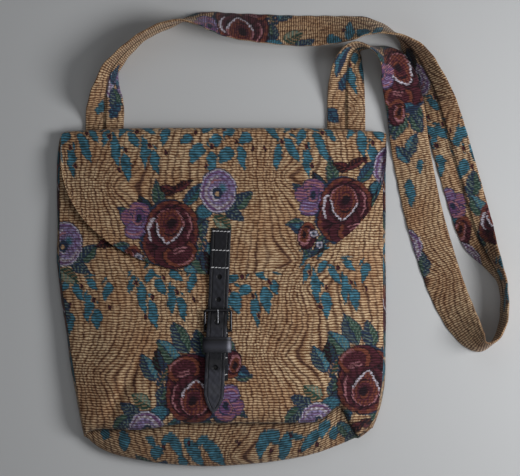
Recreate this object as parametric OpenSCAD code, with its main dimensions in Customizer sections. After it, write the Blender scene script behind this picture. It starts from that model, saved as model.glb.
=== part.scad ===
// Cloth haversack with a rounded flap, one leather buckle closure and a twisted shoulder strap.
// It lies on its back: X to the right, Y towards the flap fold, Z up out of the front.

/* [Cloth] */
// thickness of the tapestry cloth with its backing
cloth_t = 1.4; // [1.1:0.1:1.6]
// thickness of the plain lining cloth
lining_t = 0.6; // [0.5:0.1:0.8]
// clear space between two layers that are sewn or laid together
layer_gap = 0.3; // [0.25:0.05:0.4]

/* [Bag] */
// width of the bag across its mouth
bag_w = 322; // [312:1:330]
// length from the flap fold to the outermost line of the base
bag_h = 335; // [328:1:342]
// height of the front panel above the table at the mouth
mouth_lift = 16; // [15:0.5:18]
// height of the front panel above the table at the base seam
base_lift = 37; // [34:0.5:40]
// height of the front panel's side seam at the mouth
mouth_rim = 9.5; // [8.5:0.5:11]
// height of the front panel's side seam at the base
base_rim = 20; // [18:0.5:23]
// how far the bag leans in at its lower left corner
left_taper = 25; // [15:1:30]
// how far the bag leans in at its lower right corner
right_taper = 13; // [8:1:20]
// how far the left side swells out below the mouth
left_swell = 5; // [2:0.5:7]
// how far the gusset swells past the front side seam
side_bulge = 3.5; // [2.5:0.5:5]
// distance in plan from the base's outermost line to the front base seam
base_width = 46; // [40:1:50]
// distance from the flap fold down to the mouth's edge
mouth_set = 9; // [8:0.5:11]
// height of the lower corners above the base's outermost line
corner_rise = 38; // [36:1:42]
// how far the base's outermost line rises towards its ends
base_bow = 30; // [24:1:34]
// height of the pucker in the base seam at its right end
pucker_h = 15; // [0:1:18]

/* [Flap] */
// length of the flap from the fold to its lowest point
flap_drop = 144; // [138:1:150]
// straight length of the flap's side edge below the fold
flap_side = 22; // [16:1:30]
// how far the flap's side edge stands off the front panel
flap_lift = 4; // [1:0.5:7]
// length of the flap's sewn margin on the back panel
flap_margin = 20; // [14:1:24]

/* [Shoulder strap] */
// width of the shoulder strap
strap_w = 38; // [34:0.5:38]
// thickness of the folded shoulder strap
strap_t = 3; // [2.2:0.1:3]

/* [Leather] */
// width of the leather strap on the flap
billet_w = 19.5; // [17:0.5:20]
// thickness of the leather strap
billet_t = 1.8; // [1.5:0.1:2]
// distance from the flap's lowest point down to the heel bar of the buckle
buckle_drop = 55; // [54:0.5:58]
// length of the leather strap above the heel bar of the buckle
billet_up = 100; // [90:1:106]
// length of the leather strap below the heel bar of the buckle
billet_down = 80; // [74:1:84]
// slant of the leather strap on the bag in degrees
billet_slant = 2.4; // [0:0.1:2.6]
// distance between the holes of the leather strap
hole_pitch = 22; // [21.5:0.1:22.5]
// diameter of the holes of the leather strap
hole_d = 4.6; // [4:0.1:5.2]
// thickness of the leather tab that holds the buckle
tab_t = 1.5; // [1.3:0.1:1.6]
// length of the leather tab below the heel bar
tab_len = 48; // [46:0.5:54]
// width of the slot that lets the prong through the tab
tab_slot = 4.4; // [4.2:0.1:5]
// width of the keeper along the leather strap
keeper_len = 15; // [12:0.5:15]
// thickness of the keeper
keeper_t = 1.2; // [1:0.1:1.3]
// width of the keeper across the leather strap
keeper_w = 28.4; // [27.5:0.1:30]
// how far the keeper slides each way between the stitch rows
keeper_travel = 3; // [2:0.5:3]

/* [Buckle] */
// clear width inside the buckle frame
frame_in = 22.5; // [22:0.1:23.5]
// distance from the heel bar to the end bar
frame_len = 20; // [19.5:0.1:21]
// diameter of the frame's end bar and side bars
bar_d = 2.8; // [2.4:0.1:3]
// diameter of the heel bar that the prong turns on
heel_d = 2.4; // [2.2:0.1:2.5]
// width of the prong
prong_w = 2.2; // [1.8:0.1:2.4]
// thickness of the prong
prong_t = 1.8; // [1.6:0.1:1.9]
// width of the prong's eye along the heel bar
eye_w = 3.4; // [3:0.1:3.5]
// radial clearance of the prong's eye on the heel bar
eye_clear = 0.1; // [0.06:0.01:0.15]
// how far the prong can lift in its hole, in degrees
prong_lift = 4; // [2:0.5:4]

/* [Hidden] */

y_top = bag_h / 2;
y_bot = -bag_h / 2;
y_mouth = y_top - mouth_set;
y_corner = y_bot + corner_rise;
base_seam = y_bot + base_width;
crown_slope = (base_lift - mouth_lift) / (y_mouth - base_seam);
rim_slope = (base_rim - mouth_rim) / (y_mouth - base_seam);
back_top = cloth_t;
strap_z = back_top + layer_gap;
margin_z = strap_z + strap_t + layer_gap + 0.5 + cloth_t / 2;
lining_low = back_top + 2 * layer_gap + lining_t;
flap_w = bag_w / 2;
flap_under = 0.4 + lining_t + layer_gap;
flap_top = flap_under + cloth_t;
fold_y = y_top - 6;

function lerp(a, b, t) = a + (b - a) * t;
function clamp(t) = min(1, max(0, t));
function smooth(t) = let (c = clamp(t)) c * c * (3 - 2 * c);
function bell(d, w) = exp(-pow(d / w, 2));

// outermost line of the bag at the height y, on the left (side -1) or on the right (side 1)
function left_x(y) = -bag_w / 2 - left_swell * (1 - pow(clamp((y - 120) / 48), 2))
    + left_taper * pow(clamp((40 - y) / 170), 1.2);
function right_x(y) = bag_w / 2 - right_taper * pow(clamp((-40 - y) / 90), 3);

// outermost line of the base
function base_y(x) = y_bot + base_bow * pow(abs(x + 12) / 150, 2.1)
    + 10 * pow(clamp(-x / 138), 14) + 6 * pow(clamp(x / 146), 20);

// seam between the front panel and the base, with the pucker at its right end
function seam_line(x) = base_seam - 7 * smooth((-30 - x) / 60) - 7 * pow(clamp(-x / 137), 20)
    + pucker_h * bell(x - 113, 13) - 16 * smooth((x - 112) / 22);
function seam_y(x) = max(seam_line(x), base_y(min(x, 146)) + 3);

// height of the front panel's outer face: a crowned wedge, plain under the closure
function crown(y) = mouth_lift + crown_slope * (y_mouth - y);
function rim(y) = mouth_rim + rim_slope * (y_mouth - y);
function across(x, y) = let (l = left_x(y) + side_bulge, r = right_x(y) - side_bulge)
    clamp(abs(2 * x - l - r) / (r - l));
function plain_z(x, y) = crown(y) - (crown(y) - rim(y)) * pow(across(x, y), 4);

// soft dents pressed into the front panel beside the closure and near the base
function dents(x, y) = (1 - bell(x + 6, 30)) * (
    -2.6 * bell((x - 50) * 0.5 + (y + 42) * 0.86, 9) * bell((x - 50) * 0.86 - (y + 42) * 0.5, 34)
    - 2.2 * bell((x + 90) * 0.7 + (y + 78) * 0.7, 10) * bell((x + 90) * 0.7 - (y + 78) * 0.7, 40)
    - 2.4 * bell(x - 104 - (y + 80) * 0.3, 9) * bell(y + 88, 30)
    - 1.6 * bell(x + 128, 12) * bell(y + 20, 60));
function turn_in(y, seam) = -5 * pow(clamp((seam + 22 - y) / 22), 2);
function front_z(x, y) = plain_z(x, y) + dents(x, y) + turn_in(y, seam_y(x));

// closed shell between two grids of points, the first one outside
module shell(outer, inner) {
    rows = len(outer);
    cols = len(outer[0]);
    n = rows * cols;
    points = concat([for (row = outer) for (p = row) p], [for (row = inner) for (p = row) p]);
    function at(j, i) = j * cols + i;
    faces = concat(
        [for (j = [0:rows - 2]) for (i = [0:cols - 2])
            each [[at(j, i), at(j + 1, i + 1), at(j + 1, i)], [at(j, i), at(j, i + 1), at(j + 1, i + 1)]]],
        [for (j = [0:rows - 2]) for (i = [0:cols - 2])
            each [[n + at(j, i), n + at(j + 1, i), n + at(j + 1, i + 1)],
                [n + at(j, i), n + at(j + 1, i + 1), n + at(j, i + 1)]]],
        [for (i = [0:cols - 2])
            each [[at(0, i), n + at(0, i + 1), at(0, i + 1)], [at(0, i), n + at(0, i), n + at(0, i + 1)]]],
        [for (i = [0:cols - 2]) let (j = rows - 1)
            each [[at(j, i), at(j, i + 1), n + at(j, i + 1)], [at(j, i), n + at(j, i + 1), n + at(j, i)]]],
        [for (j = [0:rows - 2])
            each [[at(j, 0), n + at(j + 1, 0), n + at(j, 0)], [at(j, 0), at(j + 1, 0), n + at(j + 1, 0)]]],
        [for (j = [0:rows - 2]) let (i = cols - 1)
            each [[at(j, i), n + at(j + 1, i), at(j + 1, i)], [at(j, i), n + at(j, i), n + at(j + 1, i)]]]);
    polyhedron(points = points, faces = faces, convexity = 6);
}

// outline of the flat back panel, drawn in by the amount given
function back_outline(inset, top) = concat(
    [for (k = [0:12]) let (y = lerp(top, y_corner + inset - 2, k / 12)) [left_x(y) + inset, y]],
    [for (k = [0:26]) let (x = lerp(left_x(y_corner) + inset + 3, right_x(y_corner) - inset - 3, k / 26))
        [x, base_y(x) + inset + 5]],
    [for (k = [12:-1:0]) let (y = lerp(top, y_corner + inset - 2, k / 12)) [right_x(y) - inset, y]]);

module back_panel() {
    color("#a07c45")
        linear_extrude(cloth_t)
            polygon(back_outline(2, y_top - 4));
}

module lining_back() {
    color("#8a7a60")
        translate([0, 0, back_top + layer_gap])
            linear_extrude(lining_t)
                polygon(back_outline(11, y_top - flap_margin - 12));
}

// point of the front panel in plan: s runs from left to right, t from the mouth to the base seam
function front_xy(s, t) = let (
        y0 = lerp(y_mouth, y_corner, t),
        x = lerp(left_x(y0) + side_bulge, right_x(y0) - side_bulge, s))
    [x, lerp(y_mouth, seam_y(x), t)];

module front_panel() {
    nu = 30;
    nv = 20;
    grid = [for (j = [0:nv]) [for (i = [0:nu]) front_xy(i / nu, j / nv)]];
    color("#b08a4e")
        shell([for (row = grid) [for (p = row) [p.x, p.y, front_z(p.x, p.y)]]],
            [for (row = grid) [for (p = row) [p.x, p.y, front_z(p.x, p.y) - cloth_t]]]);
}

// the gusset's stations: outermost point, front seam point, direction that faces out
function gusset_side(k, n, right) = let (
        y = lerp(y_mouth, y_corner, k / n),
        x = right ? right_x(y) : left_x(y),
        d = right ? 1 : -1)
    [[x, y], [x - d * side_bulge, y], [d, 0], 2];
function gusset_base(k, n) = let (
        l = left_x(y_corner) + side_bulge + 1,
        r = right_x(y_corner) - side_bulge - 1,
        x = lerp(l, r, k / n),
        turn = lerp(-62, 62, k / n) * pow(abs(2 * k / n - 1), 6))
    [[x, base_y(x)], [x, seam_y(x)], [sin(turn), -cos(turn)], 7];
function gusset_ring(st, m) = let (
        out = st[0], seam = st[1], dir = st[2], over = st[3],
        z0 = back_top + layer_gap,
        z1 = front_z(seam.x, seam.y) - cloth_t - layer_gap,
        b = out - dir * over,
        reach = (b - seam) * dir,
        k = over + sqrt(over * over + over * max(reach, 0)),
        c = b + dir * k,
        zc = lerp(z0, z1, 0.45))
    [for (q = [0:m]) let (
            v = q / m,
            p = pow(1 - v, 2) * b + 2 * v * (1 - v) * c + v * v * seam,
            z = pow(1 - v, 2) * z0 + 2 * v * (1 - v) * zc + v * v * z1,
            tp = (1 - v) * (c - b) + v * (seam - c),
            tz = (1 - v) * (zc - z0) + v * (z1 - zc),
            to = tp * dir,
            len = norm([to, tz]),
            no = tz / len,
            nz = -to / len)
        [[p.x, p.y, z], [p.x - dir.x * no * cloth_t, p.y - dir.y * no * cloth_t, z - nz * cloth_t]]];

module gusset() {
    side = 12;
    base = 34;
    m = 6;
    stations = concat([for (k = [0:side]) gusset_side(k, side, false)],
        [for (k = [0:base]) gusset_base(k, base)],
        [for (k = [side:-1:0]) gusset_side(k, side, true)]);
    rings = [for (st = stations) gusset_ring(st, m)];
    color("#a8844a")
        shell([for (ring = rings) [for (p = ring) p[0]]], [for (ring = rings) [for (p = ring) p[1]]]);
}

// the lining's front half: an arched pocket that closes towards the base
function lining_arc(y, shut, inner, m) = let (
        l = left_x(y) + side_bulge + 9,
        r = right_x(y) - side_bulge - 9,
        t = inner ? lining_t : 0,
        a = ((r - l) / 2) * lerp(0.86, 1, shut) - t,
        drop = lerp(0.8, 3.4, smooth((100 - y) / 60)),
        b = max((crown(y) - cloth_t - drop - lining_low) * shut - t, 0.5),
        mid = (l + r) / 2)
    [for (q = [0:m]) let (w = -cos(180 * q / m), e = 2 / 2.5,
            cx = sign(w) * pow(abs(w), e), cz = pow(max(sin(180 * q / m), 0), e))
        [mid + a * cx, y, lining_low + b * cz]];

module lining_front() {
    m = 18;
    y_shut = base_seam + 34;
    rows = concat([for (k = [0:8]) [lerp(y_top - flap_margin - 9, y_shut, k / 8), 1]],
        [for (e = [0.25, 0.5, 0.7, 0.85, 0.94, 0.985])
            [y_shut - 30 * e, pow(1 - pow(e, 2.5), 1 / 2.5)]]);
    color("#86765c")
        shell([for (row = rows) lining_arc(row[0], row[1], false, m)],
            [for (row = rows) lining_arc(row[0], row[1], true, m)]);
}

// lower edge of the flap where the angle a runs from -90 on the left to 90 on the right
function flap_edge(a) = y_top - flap_side - (flap_drop - flap_side) * pow(max(cos(a), 0), 0.9);
function flap_z(x, y, t, a) = plain_z(x, y) + flap_lift * pow(t, 5) * pow(sin(a), 2);

// one column of the flap, as pairs of outer and inner points: margin, fold and front run
function flap_column(a, runs) = let (
        x = flap_w * sin(a),
        xm = x * 0.86,
        zt = flap_z(x, fold_y, 0, a) + flap_under + cloth_t / 2,
        r = (zt - margin_z) / 2,
        h = cloth_t / 2)
    concat(
        [for (k = [0:2]) let (y = fold_y - flap_margin + k * flap_margin / 3, xx = lerp(xm, x, k / 8))
            [[xx, y, margin_z - h], [xx, y, margin_z + h]]],
        [for (k = [0:7]) let (f = 180 * k / 8, xx = lerp(xm, x, (3 + k) / 11),
                y = fold_y + r * sin(f), z = margin_z + r * (1 - cos(f)))
            [[xx, y + h * sin(f), z - h * cos(f)], [xx, y - h * sin(f), z + h * cos(f)]]],
        [for (k = [0:runs]) let (t = k / runs, y = lerp(fold_y, flap_edge(a), t),
                z = flap_z(x, y, t, a) + flap_under)
            [[x, y, z + cloth_t], [x, y, z]]]);

module flap() {
    n = 28;
    columns = [for (i = [0:n]) flap_column(lerp(-90, 90, i / n), 13)];
    rows = len(columns[0]);
    color("#b4904f")
        shell([for (j = [0:rows - 1]) [for (i = [0:n]) columns[i][j][0]]],
            [for (j = [0:rows - 1]) [for (i = [0:n]) columns[i][j][1]]]);
}

module flap_lining() {
    n = 22;
    runs = 9;
    grid = [for (j = [0:runs]) [for (i = [0:n]) let (
            a = lerp(-80, 80, i / n),
            t = j / runs,
            x = flap_w * sin(a),
            y = lerp(fold_y - 4, flap_edge(a) + 6, t),
            part = (fold_y - y) / (fold_y - flap_edge(a)),
            z = flap_z(x, y, part, a) + 0.4)
        [x, y, z]]];
    color("#6d5a3e")
        shell([for (row = grid) [for (p = row) [p.x, p.y, p.z + lining_t]]], grid);
}

// route of the shoulder strap on a bag 322 wide, which grows with the bag:
// X, Y from the flap fold, turn of the strap about its own line, lift
route_scale = bag_w / 322;
strap_route = [
    [-119, -14, 180, 1.4], [-119, 5, 180, 1.4], [-118, 19, 196, 0.4], [-116, 39, 233, 0],
    [-109, 61, 256, 0], [-82, 88, 268, 0], [-50, 103, 272, 0], [-23, 107, 298, 0],
    [15, 101, 320, 0], [75, 97, 331, 0], [115, 98, 321, 0], [144, 100, 303, 0],
    [170, 92, 280, 0], [190, 73, 246, 0], [208, 39, 226, 0], [219, 6, 203, 0],
    [236, -52, 193, 0], [250, -101, 208, 0], [262, -127, 244, 0], [275, -154, 268, 0],
    [276, -186, 271, 0], [269, -207, 276, 0], [258, -215, 286, 0], [247, -208, 303, 0],
    [232, -183, 326, 0], [217, -146, 340, 0], [199, -85, 345, 0], [186, -21, 350, 1],
    [179, 28, 360, 7], [169, 60, 385, 6], [152, 76, 428, 2], [134, 80, 455, 0],
    [124, 70, 490, 0], [122, 46, 523, 0], [122, 20, 538, 0.6], [122, 5, 540, 1.4], [122, -14, 540, 1.4]];

function route_at(k) = strap_route[min(max(k, 0), len(strap_route) - 1)];
function route(s) = let (
        k = min(floor(s), len(strap_route) - 2),
        t = s - k,
        a = route_at(k - 1), b = route_at(k), c = route_at(k + 1), d = route_at(k + 2))
    0.5 * (2 * b + (c - a) * t + (2 * a - 5 * b + 4 * c - d) * t * t + (3 * b - a - 3 * c + d) * t * t * t);
function strap_mid(s) = let (
        r = route(s),
        rise = sqrt(pow(sin(r[2]), 2) + 0.0009) - 0.03)
    [r.x * route_scale, y_top + r.y * route_scale, 0.3 + r[3] + strap_t / 2 + (strap_w - strap_t) / 2 * rise];

// the strap's section, flat and with rounded edges, at the station s of the route
function strap_ring(s) = let (
        d = strap_mid(s + 0.02) - strap_mid(s - 0.02),
        along = d / norm(d),
        turn = route(s)[2],
        side = cross([0, 0, 1], along) / norm(cross([0, 0, 1], along)),
        up = cross(along, side),
        w = cos(turn) * side + sin(turn) * up,
        f = cross(along, w),
        h = strap_w / 2,
        q = strap_t / 2)
    [for (p = [[-h, -0.4 * q], [-h + q, -q], [0, -q], [h - q, -q], [h, -0.4 * q],
            [h, 0.4 * q], [h - q, q], [0, q], [-h + q, q], [-h, 0.4 * q]])
        strap_mid(s) + w * p.x + f * p.y];

module shoulder_strap() {
    steps = 3;
    count = (len(strap_route) - 1) * steps;
    rings = [for (k = [0:count]) strap_ring(k / steps)];
    m = len(rings[0]);
    points = [for (ring = rings) for (p = ring) p];
    faces = concat(
        [[for (i = [0:m - 1]) i]],
        [for (k = [0:count - 1]) for (i = [0:m - 1]) let (j = (i + 1) % m)
            each [[k * m + i, (k + 1) * m + i, (k + 1) * m + j], [k * m + i, (k + 1) * m + j, k * m + j]]],
        [[for (i = [m - 1:-1:0]) count * m + i]]);
    color("#a98547")
        polyhedron(points = points, faces = faces, convexity = 10);
}

// the closure is built on the plain middle of the front panel, Y up the strap, Z off the cloth
closure_x = -5;
closure_y = y_top - flap_drop - buckle_drop;
closure_tilt = -atan(crown_slope);
tab_low = layer_gap;
heel_z = tab_low + tab_t + 0.2 + heel_d / 2;
fold_in = heel_d / 2 + 0.2;
tab_high = heel_z + fold_in;
billet_over = tab_high + tab_t + layer_gap;
keeper_low = tab_low + tab_t + layer_gap;
billet_under = 0.9;
end_z = billet_under + billet_t + layer_gap + bar_d / 2;
prong_rise = atan((end_z + bar_d / 2 + 0.15 + prong_t / 2 - heel_z) / frame_len);

module on_front() {
    translate([closure_x, closure_y, crown(closure_y)])
        rotate([closure_tilt, 0, 0])
            children();
}

// extrudes a profile drawn in Y and Z across the closure
module across_closure(width) {
    rotate([90, 0, 90])
        translate([0, 0, -width / 2])
            linear_extrude(width)
                children();
}

// height of the leather strap's lower face along the closure
function billet_z(y) = y > 38 ? lerp(1.2, flap_top + layer_gap, smooth((y - buckle_drop + 17) / 15))
    : y > 18 ? lerp(billet_under, 1.2, smooth((y - 22) / 14))
    : y > -20 ? lerp(billet_over, billet_under, smooth((y - 1) / 17))
    : y > -42 ? lerp(tab_low + 2 * tab_t + 2 * layer_gap, billet_over, smooth((y + 38) / 12))
    : lerp(0.5, tab_low + 2 * tab_t + 2 * layer_gap, smooth((y + 64) / 14));

module billet_profile() {
    n = 90;
    ys = [for (k = [0:n]) lerp(-billet_down, billet_up, k / n)];
    polygon(concat([for (y = ys) [y, billet_z(y)]],
        [for (k = [n:-1:0]) [ys[k], billet_z(ys[k]) + billet_t]]));
}

// plan of the leather strap: square at the top, drawn to a point at the tip
module billet_plan() {
    h = billet_w / 2;
    tip = [for (k = [0:8]) let (t = k / 8) [h * pow(1 - pow(t, 1.7), 0.8), -billet_down + 20 - 20 * t]];
    polygon(concat([[h, billet_up], [-h, billet_up]],
        [for (p = tip) [-p.x, p.y]],
        [for (k = [7:-1:0]) tip[k]]));
}

module billet() {
    color("#24211f")
        on_front()
            difference() {
                translate([-0.6, 10, 0])
                    rotate(-billet_slant)
                        translate([0, -10, 0])
                            difference() {
                                intersection() {
                                    across_closure(billet_w + 4) billet_profile();
                                    linear_extrude(20) billet_plan();
                                }
                                for (k = [-2, -1, 1, 2])
                                    translate([0, 8.5 + k * hole_pitch, 0])
                                        cylinder(d = hole_d, h = 20, $fn = 24);
                            }
                prong_way();
            }
}

// the room that the prong needs in the leather strap from rest to its full lift
module prong_way() {
    far = 15;
    near = 3;
    low = tan(prong_rise);
    high = tan(prong_rise + prong_lift);
    half = prong_t / 2 / cos(prong_rise) + 0.4;
    across_closure(prong_w + 1.2)
        polygon([[near, heel_z + near * low - half], [far, heel_z + far * low - half],
            [far, heel_z + far * high + half], [near, heel_z + near * high + half]]);
}

// the tab runs up from its sewn end, folds round the heel bar and runs back
module tab_profile() {
    n = 12;
    out = fold_in + tab_t;
    step = -26.5;
    flat = -33;
    low_top = tab_low + tab_t;
    lay = low_top + layer_gap;
    polygon(concat(
        [[-tab_len, tab_low], [0, tab_low]],
        [for (k = [0:n]) let (a = -90 + 180 * k / n) [out * cos(a), heel_z + out * sin(a)]],
        [[step, tab_high + tab_t], [flat, lay + tab_t], [-tab_len, lay + tab_t], [-tab_len, lay],
            [flat, lay], [step, tab_high]],
        [for (k = [0:n]) let (a = 90 - 180 * k / n) [fold_in * cos(a), heel_z + fold_in * sin(a)]],
        [[-tab_len + 3, low_top], [-tab_len + 3, lay - 0.1], [-tab_len, lay - 0.1]]));
}

module buckle_tab() {
    color("#2a2725")
        on_front()
            difference() {
                across_closure(billet_w + 0.5) tab_profile();
                translate([-tab_slot / 2, -4.5, 0])
                    cube([tab_slot, 10, 20]);
            }
}

module bar(length, d) {
    rotate([0, 90, 0])
        cylinder(d = d, h = length, center = true, $fn = 32);
}

module buckle_frame() {
    side = frame_in / 2 + bar_d / 2;
    rise = atan((end_z - heel_z) / frame_len);
    run = frame_len / cos(rise);
    bend = 2.4;
    color("#1d1e21")
        on_front()
            translate([0, 0, heel_z])
                rotate([rise, 0, 0]) {
                    translate([0, run, 0]) bar(2 * (side - bend), bar_d);
                    bar(2 * side, heel_d);
                    for (s = [-1, 1])
                        scale([s, 1, 1]) {
                            translate([side, 0, 0])
                                rotate([-90, 0, 0])
                                    cylinder(d = bar_d, h = run - bend, $fn = 32);
                            translate([side - bend, run - bend, 0])
                                rotate_extrude(angle = 90, $fn = 32)
                                    translate([bend, 0]) circle(d = bar_d, $fn = 32);
                            translate([side, 0, 0])
                                sphere(d = bar_d, $fn = 32);
                        }
                }
}

module buckle_prong() {
    eye_in = heel_d / 2 + eye_clear;
    eye_out = eye_in + 1;
    reach = frame_len + 1.6;
    color("#c9ccd0")
        on_front()
            translate([0, 0, heel_z]) {
                rotate([0, 90, 0])
                    difference() {
                        cylinder(r = eye_out, h = eye_w, center = true, $fn = 40);
                        cylinder(r = eye_in, h = eye_w + 2, center = true, $fn = 40);
                    }
                rotate([prong_rise, 0, 0])
                    across_closure(prong_w)
                        polygon([[eye_in + 0.5, -prong_t / 2], [reach - 0.8, -prong_t / 2],
                            [reach, -prong_t / 2 + 0.5], [reach, prong_t / 2 - 0.5],
                            [reach - 0.8, prong_t / 2], [eye_in + 0.5, prong_t / 2]]);
            }
}

module keeper() {
    top = billet_over + billet_t + layer_gap + keeper_t;
    high = top - keeper_low;
    bend = 2;
    color("#262321")
        on_front()
            translate([-0.7, -6, keeper_low + high / 2])
                rotate([90, 0, 0])
                    linear_extrude(keeper_len)
                        difference() {
                            rounded(keeper_w, high, bend);
                            rounded(keeper_w - 2 * keeper_t, high - 2 * keeper_t, bend - keeper_t);
                        }
}

// a rectangle with round corners
module rounded(w, h, r) {
    polygon([for (c = [[1, 1, 0], [-1, 1, 90], [-1, -1, 180], [1, -1, 270]]) for (k = [0:6])
        [c[0] * (w / 2 - r) + r * cos(c[2] + 15 * k), c[1] * (h / 2 - r) + r * sin(c[2] + 15 * k)]]);
}

back_panel();
front_panel();
gusset();
lining_back();
lining_front();
flap();
flap_lining();
shoulder_strap();
billet();
buckle_tab();
buckle_frame();
buckle_prong();
keeper();
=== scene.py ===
import math

import bpy
import numpy as np
from bpy.props import FloatProperty, FloatVectorProperty, PointerProperty
from bpy.types import Operator, Panel, PropertyGroup
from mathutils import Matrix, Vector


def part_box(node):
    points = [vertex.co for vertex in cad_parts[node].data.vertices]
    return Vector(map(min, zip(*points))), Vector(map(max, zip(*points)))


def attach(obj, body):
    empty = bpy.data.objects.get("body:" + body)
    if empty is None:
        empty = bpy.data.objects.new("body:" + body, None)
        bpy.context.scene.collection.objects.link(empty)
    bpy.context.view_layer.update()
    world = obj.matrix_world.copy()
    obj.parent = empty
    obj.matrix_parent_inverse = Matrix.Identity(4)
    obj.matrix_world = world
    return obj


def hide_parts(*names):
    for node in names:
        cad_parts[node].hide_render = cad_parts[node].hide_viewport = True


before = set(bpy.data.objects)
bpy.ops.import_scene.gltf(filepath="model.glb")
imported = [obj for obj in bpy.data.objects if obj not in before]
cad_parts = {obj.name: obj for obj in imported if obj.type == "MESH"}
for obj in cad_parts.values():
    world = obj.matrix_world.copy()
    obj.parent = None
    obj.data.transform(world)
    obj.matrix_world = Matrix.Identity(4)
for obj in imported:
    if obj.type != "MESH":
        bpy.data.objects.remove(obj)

bl_info = {
    "name": "Tapestry haversack",
    "version": (1, 0, 0),
    "blender": (4, 5, 0),
    "location": "View3D > Sidebar > Haversack",
    "description": "Builds the cloth, leather and metal of a tapestry haversack on its packed frame",
    "category": "Add Mesh",
}

MM = 0.001
# lowest point of a piece above the table, in millimetres
TABLE_GAP = 0.05


def length(name, size, words):
    """A length setting of the panel, given in millimetres."""
    return FloatProperty(name=name, description=words, default=size * MM, min=0.0, subtype="DISTANCE",
                         unit="LENGTH")


def tint(name, colour, words):
    """A thread colour of the panel, as linear red, green and blue."""
    return FloatVectorProperty(name=name, description=words, default=colour, size=3, min=0.0, max=1.0,
                               subtype="COLOR")


class HaversackShape(PropertyGroup):
    """Lengths of the bag, the same as those of the construction."""

    mouth_lift: length("Mouth height", 16, "Height of the front panel at the mouth")
    base_lift: length("Base height", 37, "Height of the front panel at the base seam")
    mouth_rim: length("Mouth rim", 9.5, "Height of the side seam at the mouth")
    base_rim: length("Base rim", 20, "Height of the side seam at the base")
    left_taper: length("Left taper", 25, "Lean of the lower left corner")
    right_taper: length("Right taper", 13, "Lean of the lower right corner")
    left_swell: length("Left swell", 5, "Swell of the left side below the mouth")
    side_bulge: length("Side bulge", 3.5, "Swell of the gusset past the side seam")
    base_width: length("Base width", 46, "Plan width of the base")
    base_bow: length("Base bow", 30, "Rise of the base's outline towards its ends")
    back_set: length("Back set", 4, "Distance of the back panel's top edge below the bag's top")
    mouth_set: length("Mouth set", 9, "Distance of the mouth below the bag's top")
    fold_set: length("Fold set", 6, "Distance of the fold's middle below the bag's top")
    corner_rise: length("Corner rise", 38, "Height of the side seams' lower ends above the bag's bottom")
    pucker: length("Pucker", 15, "Height of the pucker in the base seam")
    flap_drop: length("Flap drop", 144, "Length of the flap from the fold")
    flap_side: length("Flap side", 22, "Straight length of the flap's side edge")
    flap_lift: length("Flap lift", 4, "Stand-off of the flap's side edge")
    flap_margin: length("Flap margin", 20, "Length of the flap's sewn margin")
    cloth: length("Cloth", 1.4, "Thickness of the tapestry cloth")
    lining: length("Lining", 1, "Thickness of the lining cloth")
    layer_gap: length("Layer gap", 0.3, "Room between layers that are sewn together")
    strap_room: length("Strap room", 0.8, "Room between the strap's ends and the flap's margin")
    strap_w: length("Strap width", 38, "Width of the shoulder strap")
    strap_t: length("Strap thickness", 3, "Thickness of the shoulder strap")


class HaversackClosure(PropertyGroup):
    """Lengths of the leather and metal of the closure."""

    buckle_drop: length("Buckle drop", 55, "Distance of the heel bar below the flap's edge")
    billet_w: length("Billet width", 19.5, "Width of the leather strap")
    billet_t: length("Billet thickness", 1.8, "Thickness of the leather strap")
    billet_up: length("Billet above", 100, "Leather strap above the heel bar")
    billet_down: length("Billet below", 80, "Leather strap below the heel bar")
    hole_pitch: length("Hole pitch", 22, "Distance between the holes")
    hole_d: length("Hole", 4.6, "Diameter of the holes")
    groove_in: length("Groove inset", 3.2, "Distance of the creased line from the leather's edge")
    groove_w: length("Groove width", 1.1, "Width of the creased line")
    keeper_w: length("Keeper width", 28.4, "Width of the keeper across the strap")
    keeper_len: length("Keeper length", 15, "Width of the keeper along the strap")
    keeper_t: length("Keeper thickness", 1.2, "Thickness of the keeper")
    keeper_low: length("Keeper low", 2.1, "Height of the keeper's underside above the front")
    keeper_top: length("Keeper top", 9.7, "Height of the keeper's upper side above the front")
    keeper_bend: length("Keeper bend", 3.7, "Radius of the keeper's corners")
    frame_in: length("Frame inside", 22.5, "Clear width of the buckle frame")
    frame_len: length("Frame length", 20, "Distance of the end bar from the heel bar")
    bar_d: length("Bar", 2.8, "Diameter of the frame's bars")
    frame_bend: length("Frame bend", 2.4, "Radius of the frame's corners")
    heel_d: length("Heel bar", 2.4, "Diameter of the heel bar")
    heel_z: length("Heel height", 3.2, "Height of the heel bar above the front")
    end_z: length("End height", 4.4, "Height of the end bar above the front")
    prong_w: length("Prong", 2.2, "Width of the prong")


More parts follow.
